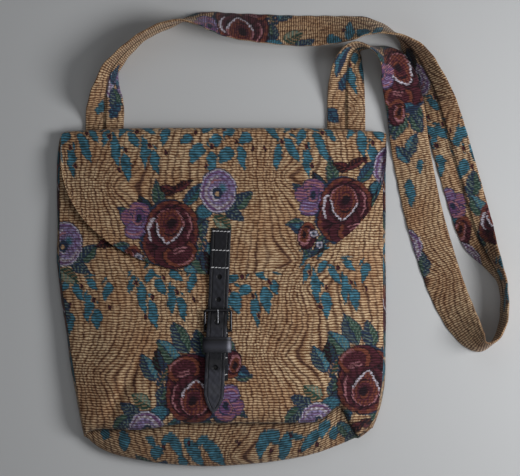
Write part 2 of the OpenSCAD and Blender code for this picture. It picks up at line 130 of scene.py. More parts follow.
class HaversackThreads(PropertyGroup):
    """Weave and thread colours of the tapestry."""

    rib: length("Rib", 2.6, "Pitch of the weft ribs")
    grain: length("Grain", 5.6, "Spacing of the brown grain lines")
    crest: FloatVectorProperty(name="Crest", description="Share of the thread colour on a rib",
                               default=(2.04, 2.18, 2.4), size=3, min=0.0)
    trough: FloatVectorProperty(name="Trough", description="Share of the thread colour between ribs",
                                default=(0.40, 0.225, 0.15), size=3, min=0.0)
    tan: tint("Tan", (0.385, 0.273, 0.156), "Light ground thread")
    ochre: tint("Ochre", (0.30, 0.176, 0.089), "Middle ground thread")
    brown: tint("Brown", (0.075, 0.036, 0.022), "Grain line thread")
    teal: tint("Teal", (0.04, 0.125, 0.165), "Hanging leaves")
    navy: tint("Navy", (0.018, 0.03, 0.055), "Dark blue outlines")
    green: tint("Green", (0.022, 0.05, 0.036), "Dark leaves")
    sage: tint("Sage", (0.13, 0.18, 0.135), "Veins of the dark leaves")
    burgundy: tint("Burgundy", (0.06, 0.0145, 0.021), "Rose petals")
    maroon: tint("Maroon", (0.013, 0.006, 0.009), "Rose outlines")
    rust: tint("Rust", (0.125, 0.038, 0.022), "Rims of the outer petals")
    pink: tint("Pink", (0.26, 0.115, 0.125), "Light strokes of the roses")
    pale: tint("Pale", (0.40, 0.38, 0.42), "White strokes")
    lilac: tint("Lilac", (0.20, 0.165, 0.28), "Light flower petals")
    purple: tint("Purple", (0.105, 0.05, 0.115), "Dark flower petals")


class HaversackStage(PropertyGroup):
    """Camera and lights."""

    camera_up: length("Camera height", 1200, "Height of the camera above the table")
    camera_x: FloatProperty(name="Camera X", description="Camera to the right of the bag's middle",
                            default=36 * MM, subtype="DISTANCE", unit="LENGTH")
    camera_y: FloatProperty(name="Camera Y", description="Camera above the bag's middle",
                            default=59 * MM, subtype="DISTANCE", unit="LENGTH")
    view_w: length("View width", 520, "Width of the table that the picture shows")
    key: FloatProperty(name="Key light", description="Power of the soft light at the right", default=7.0)
    side: FloatProperty(name="Side lights", description="Power of each light above and below", default=1.7)
    fill: FloatProperty(name="Fill", description="Strength of the light all round", default=0.07)


def lerp(a, b, t):
    """From a at t = 0 to b at t = 1 in a straight line."""
    return a + (b - a) * t


def clamp(t):
    """t kept between 0 and 1."""
    return np.clip(t, 0.0, 1.0)


def smooth(t):
    """From 0 to 1 with a level start and end: three times the square less twice the cube."""
    c = clamp(t)
    return c * c * (3 - 2 * c)


def bell(d, w):
    """1 in the middle, falling to about a third at the distance w on both sides."""
    return np.exp(-(d / w) ** 2)


def noise(u, v, seed=0.0):
    """Smooth wander between about -1 and 1: five crossed sine waves."""
    s = seed * 1.7
    return (np.sin(u + 1.3 * np.sin(v * 0.7 + s)) + np.sin(v * 1.1 + 1.7 * np.sin(u * 0.6 - s) + s)
            + np.sin(0.8 * u + 1.2 * v + s * 2.1) + 0.6 * np.sin(1.9 * u - 1.6 * v + s * 0.7)
            + 0.5 * np.sin(2.3 * v + 1.1 * u - s)) / 3.2


# place across the bag where the base's outline ends at the right
BASE_RIGHT_END = 146
# hollows of the front: depth, place, and for the ways across and along their direction and reach
DENTS = (
    (2.6, 50, -42, (0.5, 0.86, 9), (0.86, -0.5, 34)), (3.4, -99, -92, (0.87, -0.5, 6), (0.5, 0.87, 34)),
    (2.4, 101.6, -88, (1, -0.3, 9), (0, 1, 30)), (1.6, -128, -20, (1, 0, 12), (0, 1, 60)))


class Form:
    """The bag's outer surfaces in millimetres, from the panel's lengths and the frame's boxes."""

    def __init__(self):
        scene = bpy.context.scene
        for group in (scene.haversack_shape, scene.haversack_closure):
            for name in type(group).__annotations__:
                setattr(self, name, getattr(group, name) / MM)
        self.width = 2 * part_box("flap")[1][0] / MM
        self.y_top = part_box("back_panel")[1][1] / MM + self.back_set
        self.y_bot = -self.y_top
        self.y_mouth = self.y_top - self.mouth_set
        self.y_corner = self.y_bot + self.corner_rise
        self.base_seam = self.y_bot + self.base_width
        self.fold_y = self.y_top - self.fold_set
        run = self.y_mouth - self.base_seam
        self.crown_slope = (self.base_lift - self.mouth_lift) / run
        self.rim_slope = (self.base_rim - self.mouth_rim) / run
        self.flap_top = self.layer_gap + self.lining + self.cloth
        self.margin_z = self.cloth + self.layer_gap + self.strap_t + self.strap_room
        low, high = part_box("buckle_frame")
        self.buckle_x = (low[0] + high[0]) / 2 / MM
        self.buckle_y = self.y_top - self.flap_drop - self.buckle_drop

    def left_x(self, y):
        """Left outline: a swell that ends at the top corner and a taper that grows downwards."""
        swell_end, swell_run, taper_start, taper_run = 120, 48, 40, 170
        return (-self.width / 2 - self.left_swell * (1 - clamp((y - swell_end) / swell_run) ** 2)
                + self.left_taper * clamp((taper_start - y) / taper_run) ** 1.2)

    def right_x(self, y):
        """Right outline: straight, with a taper near the lower corner."""
        taper_start, taper_run = -40, 90
        return self.width / 2 - self.right_taper * clamp((taper_start - y) / taper_run) ** 3

    def base_y(self, x):
        """Lower outline: a bow about a middle a little to the left, with round corners."""
        middle, half_span, left_end, left_rise, right_rise = -12, 150, 138, 10, 6
        return (self.y_bot + self.base_bow * (np.abs(x - middle) / half_span) ** 2.1
                + left_rise * clamp(-x / left_end) ** 14 + right_rise * clamp(x / BASE_RIGHT_END) ** 20)

    def seam_y(self, x):
        """Base seam: level, lower at the left, with a pucker and a drop at the right corner."""
        left_drop, left_end, pucker_x, pucker_reach, right_drop, least_base = 7, 137, 113, 13, 16, 3
        line = (self.base_seam - left_drop * smooth((-30 - x) / 60) - left_drop * clamp(-x / left_end) ** 20
                + self.pucker * bell(x - pucker_x, pucker_reach) - right_drop * smooth((x - 112) / 22))
        return np.maximum(line, self.base_y(np.minimum(x, BASE_RIGHT_END)) + least_base)

    def crown(self, y):
        """Height of the front along its middle: a straight slope from the mouth to the base."""
        return self.mouth_lift + self.crown_slope * (self.y_mouth - y)

    def rim(self, y):
        """Height of the side seams: a straight slope from the mouth to the base."""
        return self.mouth_rim + self.rim_slope * (self.y_mouth - y)

    def plain_z(self, x, y):
        """Height of the smooth front: from the crown to the rim with the fourth power across."""
        l, r = self.left_x(y) + self.side_bulge, self.right_x(y) - self.side_bulge
        across = clamp(np.abs(2 * x - l - r) / (r - l))
        return self.crown(y) - (self.crown(y) - self.rim(y)) * across ** 4

    def dents(self, x, y):
        """Long hollows, each a bell across times a bell along, clear of the closure."""
        total = 0
        for hollow, at_x, at_y, *ways in DENTS:
            for way_x, way_y, reach in ways:
                hollow = hollow * bell((x - at_x) * way_x + (y - at_y) * way_y, reach)
            total = total - hollow
        return total * self.clear(x, 30)

    def clear(self, x, reach):
        """0 on the closing strap's line and 1 away from it, where the cloth may be uneven."""
        strap_x = -6
        return 1 - bell(x - strap_x, reach)

    def front_z(self, x, y):
        """Height of the front panel: smooth front, dents and a turn down towards the base seam."""
        turn_depth, turn_run = 5, 22
        turn_in = -turn_depth * clamp((self.seam_y(x) + turn_run - y) / turn_run) ** 2
        return self.plain_z(x, y) + self.dents(x, y) + turn_in

    def flap_edge(self, a):
        """Lower edge of the flap at an angle from the middle: straight sides, then a rounded end."""
        return (self.y_top - self.flap_side
                - (self.flap_drop - self.flap_side) * np.maximum(np.cos(a), 0) ** 0.9)


def quads(rows, cols, wrap=False, loop=False):
    """Faces of a grid; seen from outside, its rows go down and its columns to the right.

    wrap joins the last column to the first one, and loop the last row to the first one.
    """
    down = np.arange(rows if loop else rows - 1)
    right = np.arange(cols if wrap else cols - 1)
    j, i = np.meshgrid(down, right, indexing="ij")
    k, below = (i + 1) % cols, (j + 1) % rows
    return np.stack([j * cols + i, below * cols + i, below * cols + k, j * cols + k], -1).reshape(-1, 4)


def pipe(rows, cols):
    """Faces of a pipe with closed ends: its side, and strips across each end ring between facing points."""
    i = np.arange(cols // 2 - 1)
    first = np.stack([i, i + 1, cols - 2 - i, cols - 1 - i], -1)
    return np.concatenate([quads(rows, cols, wrap=True), first, first[:, ::-1] + (rows - 1) * cols])


def mesh_piece(name, points, faces, body, nodes=(), material=None, thread=None, weave=None):
    """An object at the origin from points in millimetres, with its thread colours and weave places."""
    points = np.asarray(points, float).reshape(-1, 3) * MM
    points[:, 2] = np.maximum(points[:, 2], TABLE_GAP * MM)
    mesh = bpy.data.meshes.new(name)
    mesh.vertices.add(len(points))
    mesh.vertices.foreach_set("co", points.ravel())
    mesh.loops.add(faces.size)
    mesh.loops.foreach_set("vertex_index", faces.ravel().astype(np.int32))
    mesh.polygons.add(len(faces))
    mesh.polygons.foreach_set("loop_start", np.arange(0, faces.size, faces.shape[1], dtype=np.int32))
    mesh.update(calc_edges=True)
    mesh.validate()
    mesh.shade_smooth()
    if thread is not None:
        rgba = np.asarray(thread, float).reshape(-1, 4)
        mesh.attributes.new("thread", "FLOAT_COLOR", "POINT").data.foreach_set("color", rgba.ravel())
    if weave is not None:
        place = np.zeros((len(points), 3))
        place[:, 0], place[:, 1] = weave[0].ravel(), weave[1].ravel()
        mesh.attributes.new("weave", "FLOAT_VECTOR", "POINT").data.foreach_set("vector", place.ravel())
    piece = bpy.data.objects.new(name, mesh)
    bpy.context.scene.collection.objects.link(piece)
    if material:
        mesh.materials.append(material)
    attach(piece, body)
    if nodes:
        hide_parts(*nodes)
    return piece


def cloth_piece(node_name, grid, loom, weave, faces=None):
    """A tapestry piece of the bag in place of a node of the frame, with its threads and its weave."""
    faces = quads(*grid.shape[:2]) if faces is None else faces
    return mesh_piece(node_name + "_cloth", grid, faces, "bag", (node_name,), material("Tapestry"),
                      loom.threads(), weave)


def unit(ways):
    """Directions of length 1."""
    return ways / np.maximum(np.linalg.norm(ways, axis=-1, keepdims=True), 1e-6)


def travelled(points, axis=0):
    """Distance gone along a line of points, or along each line of a grid of them."""
    steps = np.linalg.norm(np.diff(points, axis=axis), axis=-1)
    start = np.zeros_like(np.take(steps, [0], axis))
    return np.concatenate([start, np.cumsum(steps, axis)], axis)


def hem(grid, steps, sides):
    """Adds rings past a grid's left, right, top or bottom side: each step goes inward and down."""
    for side in sides:
        grid = np.moveaxis(grid, 1, 0) if side in "lr" else grid
        grid = grid[::-1] if side in "tl" else grid
        edge, inner = grid[-1], grid[-4]
        way = unit(inner[:, :2] - edge[:, :2])
        rings = [np.concatenate([edge[:, :2] + way * a, edge[:, 2:3] - b], 1)[None] for a, b in steps]
        grid = np.concatenate([grid] + rings)
        grid = grid[::-1] if side in "tl" else grid
        grid = np.moveaxis(grid, 1, 0) if side in "lr" else grid
    return grid


# tones of a leaf: its main colour, its veins, its outline and, where that differs, its other half
DARK_LEAF = ("green", "sage", "navy")
TEAL_LEAF = ("teal", "sage", "navy")
SPLIT_LEAF = ("teal", "sage", "navy", "green")
BLUE_LEAF = ("navy", "teal", "navy")
SHADE_LEAF = ("navy", "green", "maroon")
RED_LEAF = ("burgundy", "rust", "maroon")
# leaves of a bunch around its rose: place, length, width, turn and tones
POSY_LEAVES = (
    (13, -50, 34, 19, 296, DARK_LEAF), (-6, -45, 28, 16, 284, DARK_LEAF), (25, -36, 32, 19, 310, SPLIT_LEAF),
    (44, -21, 30, 16, 298, TEAL_LEAF), (51, 11, 22, 15, 325, ("sage", "ochre", "green", "green")),
    (31, 6, 24, 11, 260, DARK_LEAF), (70, 34, 26, 15, 45, DARK_LEAF),
    (30, -14, 24, 10, 250, ("green", "ochre", "navy")),
    (-13, 39, 32, 13, 98, ("green", "sage", "navy", "green")),
    (22, 40, 30, 13, 52, ("green", "teal", "navy")), (-4, 44, 18, 11, 155, RED_LEAF),
    (11, 48, 26, 10, 28, RED_LEAF), (-24, -30, 22, 11, 230, DARK_LEAF), (-46, 22, 18, 9, 140, DARK_LEAF),
    (-27, -40, 24, 12, 250, SHADE_LEAF), (34, -28, 24, 12, 280, SHADE_LEAF),
    (-27, 30, 22, 12, 120, SHADE_LEAF), (62, 20, 24, 13, 330, ("navy", "sage", "navy")),
    (28, 20, 26, 13, 70, SHADE_LEAF), (-50, -12, 18, 10, 190, DARK_LEAF))
# leaves of a hanging bunch: place, length, width and lean; then its berries' places
HANGING_LEAVES = (
    (-26, 7, 17, 8, -28), (-16, -7, 29, 11, -8), (-3, -21, 28, 10, 6), (3, 5, 17, 10, 24),
    (13, -9, 25, 11, -18), (26, -15, 25, 9, 11), (32, 8, 18, 10, -28), (17, 15, 14, 9, 38),
    (-8, 16, 15, 8, -32))
HANGING_BERRIES = ((-19, 11), (-3, -3), (21, 2), (8, 16), (37, -5), (-9, -22))
# strength of the weft ribs inside a motif, and in the plain leaves; the ground has 1
MOTIF_RELIEF = 0.5
LEAF_RELIEF = 0.8


def turn_by(x, y, turn):
    """A place turned about the origin by an angle in degrees."""
    c, s = math.cos(math.radians(turn)), math.sin(math.radians(turn))
    return c * x - s * y, s * x + c * y


class Loom:
    """Weaves motifs into an array of thread colours; each later motif covers the earlier ones."""

    def __init__(self, u, v):
        # each row of weft steps a little to the side, so that edges are ragged
        u, v = u.ravel(), v.ravel()
        row = np.floor(v / 1.9)
        self.u = u + 0.8 * np.sin(row * 4.1 + 2.3 * np.sin(row * 1.7) + np.floor(u / 6) * 1.3)
        self.v = v
        threads = bpy.context.scene.haversack_threads
        self.tone = {name: np.array(getattr(threads, name)) for name in HaversackThreads.__annotations__
                     if name not in ("rib", "grain", "crest", "trough")}
        self.grain = threads.grain / MM
        self.rgb = np.zeros((self.u.size, 3))
        self.relief = np.ones((self.u.size, 1))

    def near(self, x, y, reach, turn):
        """Points around a motif and their places along and across it."""
        at = np.flatnonzero((np.abs(self.u - x) < reach) & (np.abs(self.v - y) < reach))
        c, s = math.cos(math.radians(turn)), math.sin(math.radians(turn))
        du, dv = self.u[at] - x, self.v[at] - y
        return at, c * du + s * dv, c * dv - s * du

    def put(self, at, inside, colour, relief=MOTIF_RELIEF):
        """Lays a motif's colours over its inside, with the strength of the ribs there."""
        self.rgb[at[inside]] = colour[inside]
        self.relief[at[inside]] = relief

    def threads(self):
        """Thread colours with the strength of the ribs as a fourth value."""
        return np.concatenate([self.rgb, self.relief], 1)

    def lay(self, rows):
        """Weaves a list of motifs: each row has its kind, its place and its settings."""
        for kind, x, y, *settings in rows:
            getattr(self, kind)(x, y, *settings)

    def ground(self, knots):
        """Tan ground with brown grain: contour lines of a bent slope with humps and bands at the knots."""
        u, v = self.u, self.v
        bend = (4 * np.sin(v / 27 + 1.4 * np.sin(u / 41)) + 3.5 * noise(u / 17, v / 26, 1)
                + 8 * noise(u / 50, v / 60, 2))
        level = (u + bend) / self.grain
        swirl = np.zeros_like(u)
        for x, y, size, rings in knots:
            far = np.hypot((u - x) / size, (v - y) / (0.8 * size))
            level = level + rings * np.exp(-far ** 1.4)
            swirl = np.maximum(swirl, bell(far, 1.6))
        line = 0.5 + 0.5 * np.cos(2 * np.pi * (level + 0.12 * noise(u / 6, v / 14, 3)))
        heavy = 0.55 + 0.45 * np.cos(np.pi * np.floor(level + 0.5) * 1.31)
        band = swirl * smooth((np.cos(np.pi * level) - 0.1) / 0.7)
        dark = smooth((line - 0.66) / 0.26) * clamp(0.62 + heavy * (0.6 + 0.5 * noise(u / 37, v / 31, 9)))
        dark = clamp(0.88 * dark + 0.3 * band)[:, None]
        warm = clamp(0.42 + 0.55 * noise(u / 21, v / 15, 4) + 0.25 * noise(u / 5, v / 9, 5)
                     + band - 0.3 * swirl)[:, None]
        self.rgb[:] = lerp(lerp(self.tone["tan"], self.tone["ochre"], warm), self.tone["brown"], dark)

    def leaf(self, x, y, size, width, turn, main="green", vein="sage", edge="navy", half_tone=None):
        """A pointed leaf along its turn with a midrib, slanted veins and an outline."""
        at, a, b = self.near(x, y, size, turn)
        t = clamp(a / size + 0.5)
        half = width / 2 * np.sin(np.pi * t ** 0.8) ** 0.8
        inside = (np.abs(b) < half) & (t > 0) & (t < 1)
        colour = np.tile(self.tone[main], (len(at), 1))
        colour[b > 0] = self.tone[half_tone or edge]
        veins = ((a - 0.9 * np.abs(b)) / 4.4) % 1 < 0.32
        colour[veins] = lerp(colour[veins], self.tone[vein], 0.75)
        colour[np.abs(b) < 0.6] = self.tone[edge]
        colour[np.abs(b) > half - 1.0] = self.tone[edge]
        self.put(at, inside, colour)

    def drop(self, x, y, size, width, turn=-90):
        """A plain hanging leaf: round above, pointed below and slightly bent."""
        at, a, b = self.near(x, y, size, turn)
        t = clamp(a / size + 0.5)
        half = width / 2 * np.sin(np.pi * t ** 0.7) ** 0.85
        inside = (np.abs(b + 0.05 * width * np.sin(a * 0.3)) < half) & (t > 0) & (t < 1)
        shade = 0.9 + 0.36 * noise(self.u[at] / 1.9, self.v[at] / 2.7, x)
        shade = shade * (1 - 0.45 * (half - np.abs(b) < 0.9))
        self.put(at, inside, self.tone["teal"] * shade[:, None], LEAF_RELIEF)

    def cup(self, x, y, size, width, turn, main, low_line, high_line):
        """The heart of a rose: round above and pointed below, streaked, with an outline of two tones."""
        at, a, b = self.near(x, y, size, turn)
        t = clamp(a / size + 0.5)
        half = width / 2 * np.sin(np.pi * t ** 0.75) ** 0.7
        streak = (np.sin(b * 1.9 + 0.5 * np.sin(a * 0.5)) > 0.2)[:, None]
        colour = np.where(streak, self.tone["burgundy"], self.tone[main])
        rim = half - np.abs(b)
        fringe = 0.5 * np.sin(self.v[at] * 2.6 + a * 0.4)
        colour[(rim < 1.3 + fringe) & (t < 0.5)] = self.tone[high_line]
        colour[(rim < 0.9 + 1.3 * t + fringe) & (t >= 0.45)] = self.tone[low_line]
        self.put(at, (rim > 0) & (t > 0) & (t < 1), colour)

    def oval(self, x, y, rx, ry, turn, inner, outer=None, edge="maroon", rim=None, band=0.0, hatch=0.0,
             rows=None):
        """A petal: shaded from the middle out, hatched or in rows, with a rim band and an outline."""
        at, a, b = self.near(x, y, max(rx, ry) + 1, turn)
        q = np.hypot(a / rx, b / ry)
        depth = (1 - q) * min(rx, ry)
        colour = lerp(self.tone[inner], self.tone[outer or inner], smooth((q - 0.2) / 0.6)[:, None])
        if hatch:
            angle = np.arctan2(b / ry, a / rx)
            colour = colour * (1 - hatch * (np.sin(angle * 13 + q * 5) > 0.35))[:, None]
        if rows:
            colour[np.sin(self.v[at] * 1.9 + 0.3 * a) > 0.45] = self.tone[rows]
        if rim:
            colour[depth < band] = self.tone[rim]
        colour[depth < 0.8] = self.tone[edge]
        self.put(at, q < 1, colour)

    def stroke(self, x, y, rx, ry, turn, start, stop, wide, tone):
        """A curved line of thread: part of an ellipse between two angles; a wide one is streaked."""
        at, a, b = self.near(x, y, max(rx, ry) + wide, turn)
        q = np.hypot(a / rx, b / ry)
        angle = np.degrees(np.arctan2(b / ry, a / rx))
        part = ((angle - start) % 360) / (stop - start)
        taper = np.sin(np.pi * clamp(part)) ** 0.4
        plain = np.full(len(at), wide <= 2.5) | (np.sin(np.radians(angle) * 17 + 9 * q) > 0.2)
        colour = np.where(plain[:, None], self.tone[tone], lerp(self.tone[tone], self.tone["burgundy"], 0.6))
        self.put(at, (part < 1) & (np.abs(q - 1) * min(rx, ry) < wide / 2 * taper), colour)

    def turned(self, x, y, turn, size):
        """Gives a function that draws a part of a motif, placed and sized in the motif's own axes."""
        def part(draw, dx, dy, rx, ry, lean, *more, **also):
            right, up = turn_by(dx, dy, turn)
            draw(x + size * right, y + size * up, size * rx, size * ry, turn + lean, *more, **also)

        return part

    def rose(self, x, y, turn=0, size=1.0):
        """A rose: burgundy petals with rust rims, a heart outlined in white and pink, and a dark eye."""
        part, oval, stroke = self.turned(x, y, turn, size), self.oval, self.stroke
        part(oval, 0, 2, 26, 32, 0, "maroon", "burgundy", hatch=0.55)
        part(stroke, 0, 2, 23.5, 29.5, 0, 70, 190, 3.4, "rust")
        part(oval, 9, 4, 18, 27, 0, "maroon", "burgundy", hatch=0.55)
        part(stroke, 9, 4, 15.5, 24.5, 0, -30, 100, 3.4, "rust")
        part(oval, -10, -8, 18, 22, 0, "maroon", "burgundy", hatch=0.55)
        part(stroke, -10, -8, 15.5, 19.5, 0, 150, 280, 3.4, "rust")
        part(oval, 3, -20, 20, 14.5, 0, "maroon", "burgundy", hatch=0.3)
        part(oval, 9, -19, 17, 13, 18, "burgundy", rim="rust", band=3.6, hatch=0.5)
        part(stroke, 9, -18, 9, 5, 18, 30, 130, 1.5, "pink")
        part(stroke, 9, -18, 6, 1.5, 18, 30, 150, 1.3, "pink")
        part(stroke, 9, -19, 14, 10.5, 18, 250, 345, 1.4, "pink")
        part(oval, -12, 2, 10, 15, 12, "maroon", "burgundy")
        part(oval, 3, 7, 19, 21, -8, "maroon", "burgundy", hatch=0.5)
        part(stroke, 2, 8, 17.5, 19.5, 0, -40, 45, 1.7, "pink")
        part(self.cup, -2, 8, 38, 31, -98, "maroon", "maroon", "maroon")
        part(self.cup, -2, 8, 35, 27.5, -98, "rust", "pale", "pink")
        part(oval, 0, 11, 7, 9.5, -20, "maroon", "burgundy", "burgundy", hatch=0.55)
        part(stroke, -1, 10, 8.5, 10.5, 0, 230, 330, 1.6, "maroon")
        part(oval, 1, 12, 3.6, 5.6, -15, "maroon")
        part(stroke, 0, 8, 6, 9, -10, 60, 170, 1.5, "rust")
        part(stroke, -12, 2, 9.5, 14.5, 12, 95, 215, 2.4, "pale")

    def pansy(self, x, y, turn=0, size=1.0):
        """A small dark flower of round petals with pink strokes."""
        part, oval, stroke = self.turned(x, y, turn, size), self.oval, self.stroke
        part(oval, 7, -3, 8, 11, 0, "purple", edge="navy", rows="lilac")
        part(oval, -7, 2, 8.5, 10, 20, "purple", edge="navy", rows="pink")
        part(oval, -2, -10, 10, 9, 0, "purple", edge="navy", rows="lilac")
        part(stroke, -2, -10, 7, 4, 0, 180, 360, 1.6, "pink")
        part(oval, 3, 10, 11, 8.5, -12, "purple", edge="navy", rows="pink")
        part(stroke, 3, 9, 8, 5, -12, 20, 160, 1.6, "pink")
        part(oval, 2, 3, 6.5, 8.5, 0, "purple", edge="navy")
        part(stroke, 2, 3, 5, 7, 0, 100, 330, 1.4, "pink")
        part(oval, 2, 2, 3, 4.4, 0, "navy", "maroon", "navy")

    def bloom(self, x, y, turn=0, size=1.0):
        """A large light flower: pale rings, a lilac bowl and a dark blue heart."""
        part, oval, stroke = self.turned(x, y, turn, size), self.oval, self.stroke
        part(oval, 0, 0, 18.5, 22.5, 0, "purple", edge="navy")
        part(oval, 0, 0, 17.5, 21.5, 0, "lilac", edge="pale", hatch=0.5)
        part(stroke, 0, 0, 15, 18.6, 0, 0, 359, 1.8, "purple")
        part(stroke, 1, -1, 12.6, 15.4, 0, 90, 350, 2.6, "pale")
        part(oval, 1, 1, 10.5, 12.6, 0, "purple", "lilac", "purple", hatch=0.5)
        part(stroke, 0, 2, 8, 9, 0, 40, 170, 1.6, "pink")
        part(oval, 4.5, 3, 6.5, 8.5, 0, "teal", "lilac", "purple", hatch=0.55)
        part(oval, -1.5, -2.5, 5, 6.6, 0, "navy", edge="navy")
        part(stroke, -1.5, -2.5, 5, 6.6, 0, 100, 300, 1.3, "pale")
        part(oval, -1.5, -3, 1.9, 2.4, 0, "tan", edge="ochre")

    def bud(self, x, y, turn=0, size=1.0):
        """A half-open rosebud with a green collar."""
        part, oval, stroke = self.turned(x, y, turn, size), self.oval, self.stroke
        part(self.leaf, -10, 7, 15, 11, 150, "teal", "navy")
        part(self.leaf, 1, -16, 18, 9, -80)
        part(oval, 0, 0, 9.5, 14, -8, "maroon", "burgundy", hatch=0.55)
        part(stroke, 0, 0, 8, 12, -8, 20, 150, 2.2, "rust")
        part(oval, -2.5, 0, 6, 9.5, -8, "rust", hatch=0.5)
        part(stroke, -2.5, 0, 5, 8.3, -8, 120, 420, 1.5, "pink")
        part(oval, -2.5, 1, 2.4, 4.2, 0, "maroon")

    def hanging(self, x, y, turn=0, size=1.0, flip=1):
        """A bunch of teal leaves, each with a stem, and red berries; flip -1 is its mirror image."""
        part = self.turned(x, y, turn, size)
        for dx, dy, long, wide, lean in HANGING_LEAVES:
            stray = math.sin(0.7 * x + 1.9 * dx + 2.3 * dy)
            part(self.drop, flip * (dx - 2) + 2 * stray, dy + long / 2 + 4, 11, 2.8, -64 + flip * 2 * lean)
            part(self.drop, flip * dx + 3 * stray, dy + 3 * stray, long * (1 + 0.2 * stray),
                 wide * (1.08 - 0.2 * stray), -90 + flip * lean + 16 * stray)
        for dx, dy in HANGING_BERRIES:
            part(self.oval, flip * dx, dy, 2.6, 3.6, 10, "ochre", edge="ochre")
            part(self.oval, flip * dx, dy, 1.8, 3.0, 10, "burgundy")

    def posy(self, x, y, turn=0, size=1.0):
        """The pattern's main bunch: a rose with flowers, buds and leaves around it."""
        part = self.turned(x, y, turn, size)
        for dx, dy, long, wide, lean, tones in POSY_LEAVES:
            part(self.leaf, dx, dy, long, wide, lean, *tones)
        part(self.oval, 33, 23, 9, 7.5, 20, "teal", edge="navy", hatch=0.55)
        part(self.oval, -2, 0, 29, 35, 0, "navy", edge="navy")
        for flower, dx, dy in ((self.bud, -38, -24), (self.pansy, -34, 14), (self.bloom, 46, 43),
                               (self.rose, 0, 0)):
            right, up = turn_by(dx, dy, turn)
            flower(x + size * right, y + size * up, turn, size)
        for dx, dy in ((-31, -22), (-25, -33)):
            part(self.oval, dx, dy, 4, 4, 45, "navy", "pale", "navy")


def node(tree, kind, inputs=None, **settings):
    """A shader node with its settings, and its inputs set to numbers or linked to sockets."""
    made = tree.nodes.new(kind)
    for name, value in settings.items():
        setattr(made, name, value)
    for key, value in (inputs or {}).items():
        if isinstance(value, bpy.types.NodeSocket):
            tree.links.new(value, made.inputs[key])
        else:
            made.inputs[key].default_value = value
    return made


def sums(tree, operation, *terms):
    """The output of a math node whose terms are numbers or sockets."""
    return node(tree, "ShaderNodeMath", dict(enumerate(terms)), operation=operation).outputs[0]


def new_material(name, colour, roughness, metallic=0.0):
    """A plain principled material; returns it with its tree and shader for more nodes."""
    made = bpy.data.materials.new(name)
    made.use_nodes = True
    made.diffuse_color = (*colour, 1.0)
    shader = made.node_tree.nodes["Principled BSDF"]
    shader.inputs["Base Color"].default_value = (*colour, 1.0)
    shader.inputs["Roughness"].default_value = roughness
    shader.inputs["Metallic"].default_value = metallic
    return made, made.node_tree, shader


def roughen(tree, shader, height, strength, depth):
    """Bumps of a height socket on a shader, with their depth in millimetres."""
    bump = node(tree, "ShaderNodeBump", {"Height": height, "Strength": strength, "Distance": depth * MM})
    tree.links.new(bump.outputs[0], shader.inputs["Normal"])


def grain(tree, scale, detail):
    """A fine even noise over the object."""
    place = node(tree, "ShaderNodeTexCoord").outputs["Object"]
    return node(tree, "ShaderNodeTexNoise", {"Vector": place, "Scale": scale, "Detail": detail}).outputs[0]


def tapestry_material(name):
    """Woven cloth: thread colours from the mesh, lighter on the weft ribs and broken into dashes."""
    threads = bpy.context.scene.haversack_threads
    made, tree, shader = new_material(name, threads.ochre, 0.85)
    thread = node(tree, "ShaderNodeAttribute", attribute_name="thread")
    colour = thread.outputs["Color"]
    place = node(tree, "ShaderNodeAttribute", attribute_name="weave").outputs["Vector"]
    split = node(tree, "ShaderNodeSeparateXYZ", {0: place})
    wander = node(tree, "ShaderNodeTexNoise", {"Vector": place, "Scale": 0.11, "Detail": 1.0}).outputs[0]
    rows = sums(tree, "DIVIDE", sums(tree, "MULTIPLY_ADD", wander, 2.4, split.outputs[1]), threads.rib / MM)
    wave = sums(tree, "SINE", sums(tree, "MULTIPLY", rows, 2 * math.pi))
    count = sums(tree, "FLOOR", sums(tree, "ADD", rows, 0.25))
    # each rib has its own row of dashes
    dash = node(tree, "ShaderNodeCombineXYZ", {0: sums(tree, "MULTIPLY", split.outputs[0], 0.24),
                                               1: sums(tree, "MULTIPLY", count, 3.7)}).outputs[0]
    yarn = node(tree, "ShaderNodeTexNoise", {"Vector": dash, "Scale": 1.0, "Detail": 2.0}).outputs[0]
    crest = sums(tree, "MULTIPLY_ADD", wave, 0.5, sums(tree, "MULTIPLY_ADD", yarn, 1.7, -0.45))
    crest = node(tree, "ShaderNodeClamp", {0: crest}).outputs[0]
    # where the relief is low, the ribs come nearer to their middle tone
    middle = 0.42
    crest = sums(tree, "MULTIPLY_ADD", sums(tree, "SUBTRACT", crest, middle), thread.outputs["Alpha"], middle)
    low, high = (node(tree, "ShaderNodeVectorMath", {0: colour, 1: share}, operation="MULTIPLY").outputs[0]
                 for share in (threads.trough, threads.crest))
    woven = node(tree, "ShaderNodeMix", data_type="RGBA")
    for slot, socket in ((0, crest), (6, low), (7, high)):
        tree.links.new(socket, woven.inputs[slot])
    tree.links.new(woven.outputs[2], shader.inputs["Base Color"])
    roughen(tree, shader, sums(tree, "MULTIPLY_ADD", wave, 0.5, yarn), 0.35, 0.5)
    shader.inputs["Sheen Weight"].default_value = 0.15
    shader.inputs["Specular IOR Level"].default_value = 0.15
    return made


def leather_material(name):
    """Black leather with a fine grain; the leather with painted sheen and shade takes its tone from the mesh.
    """
    made, tree, shader = new_material(name, (0.0165, 0.017, 0.022), 0.42)
    if name == "Worn leather":
        tone = node(tree, "ShaderNodeAttribute", attribute_name="thread").outputs["Color"]
        tree.links.new(tone, shader.inputs["Base Color"])
    roughen(tree, shader, grain(tree, 900.0, 3.0), 0.25, 0.3)
    shader.inputs["Specular IOR Level"].default_value = 0.32
    return made


def lining_material(name):
    """Plain brown lining cloth with a fine weave."""
    made, tree, shader = new_material(name, (0.09, 0.062, 0.042), 0.9)
    roughen(tree, shader, grain(tree, 700.0, 2.0), 0.3, 0.3)
    return made


MADE_UP = {"Tapestry": tapestry_material, "Black leather": leather_material, "Worn leather": leather_material,
           "Lining cloth": lining_material}
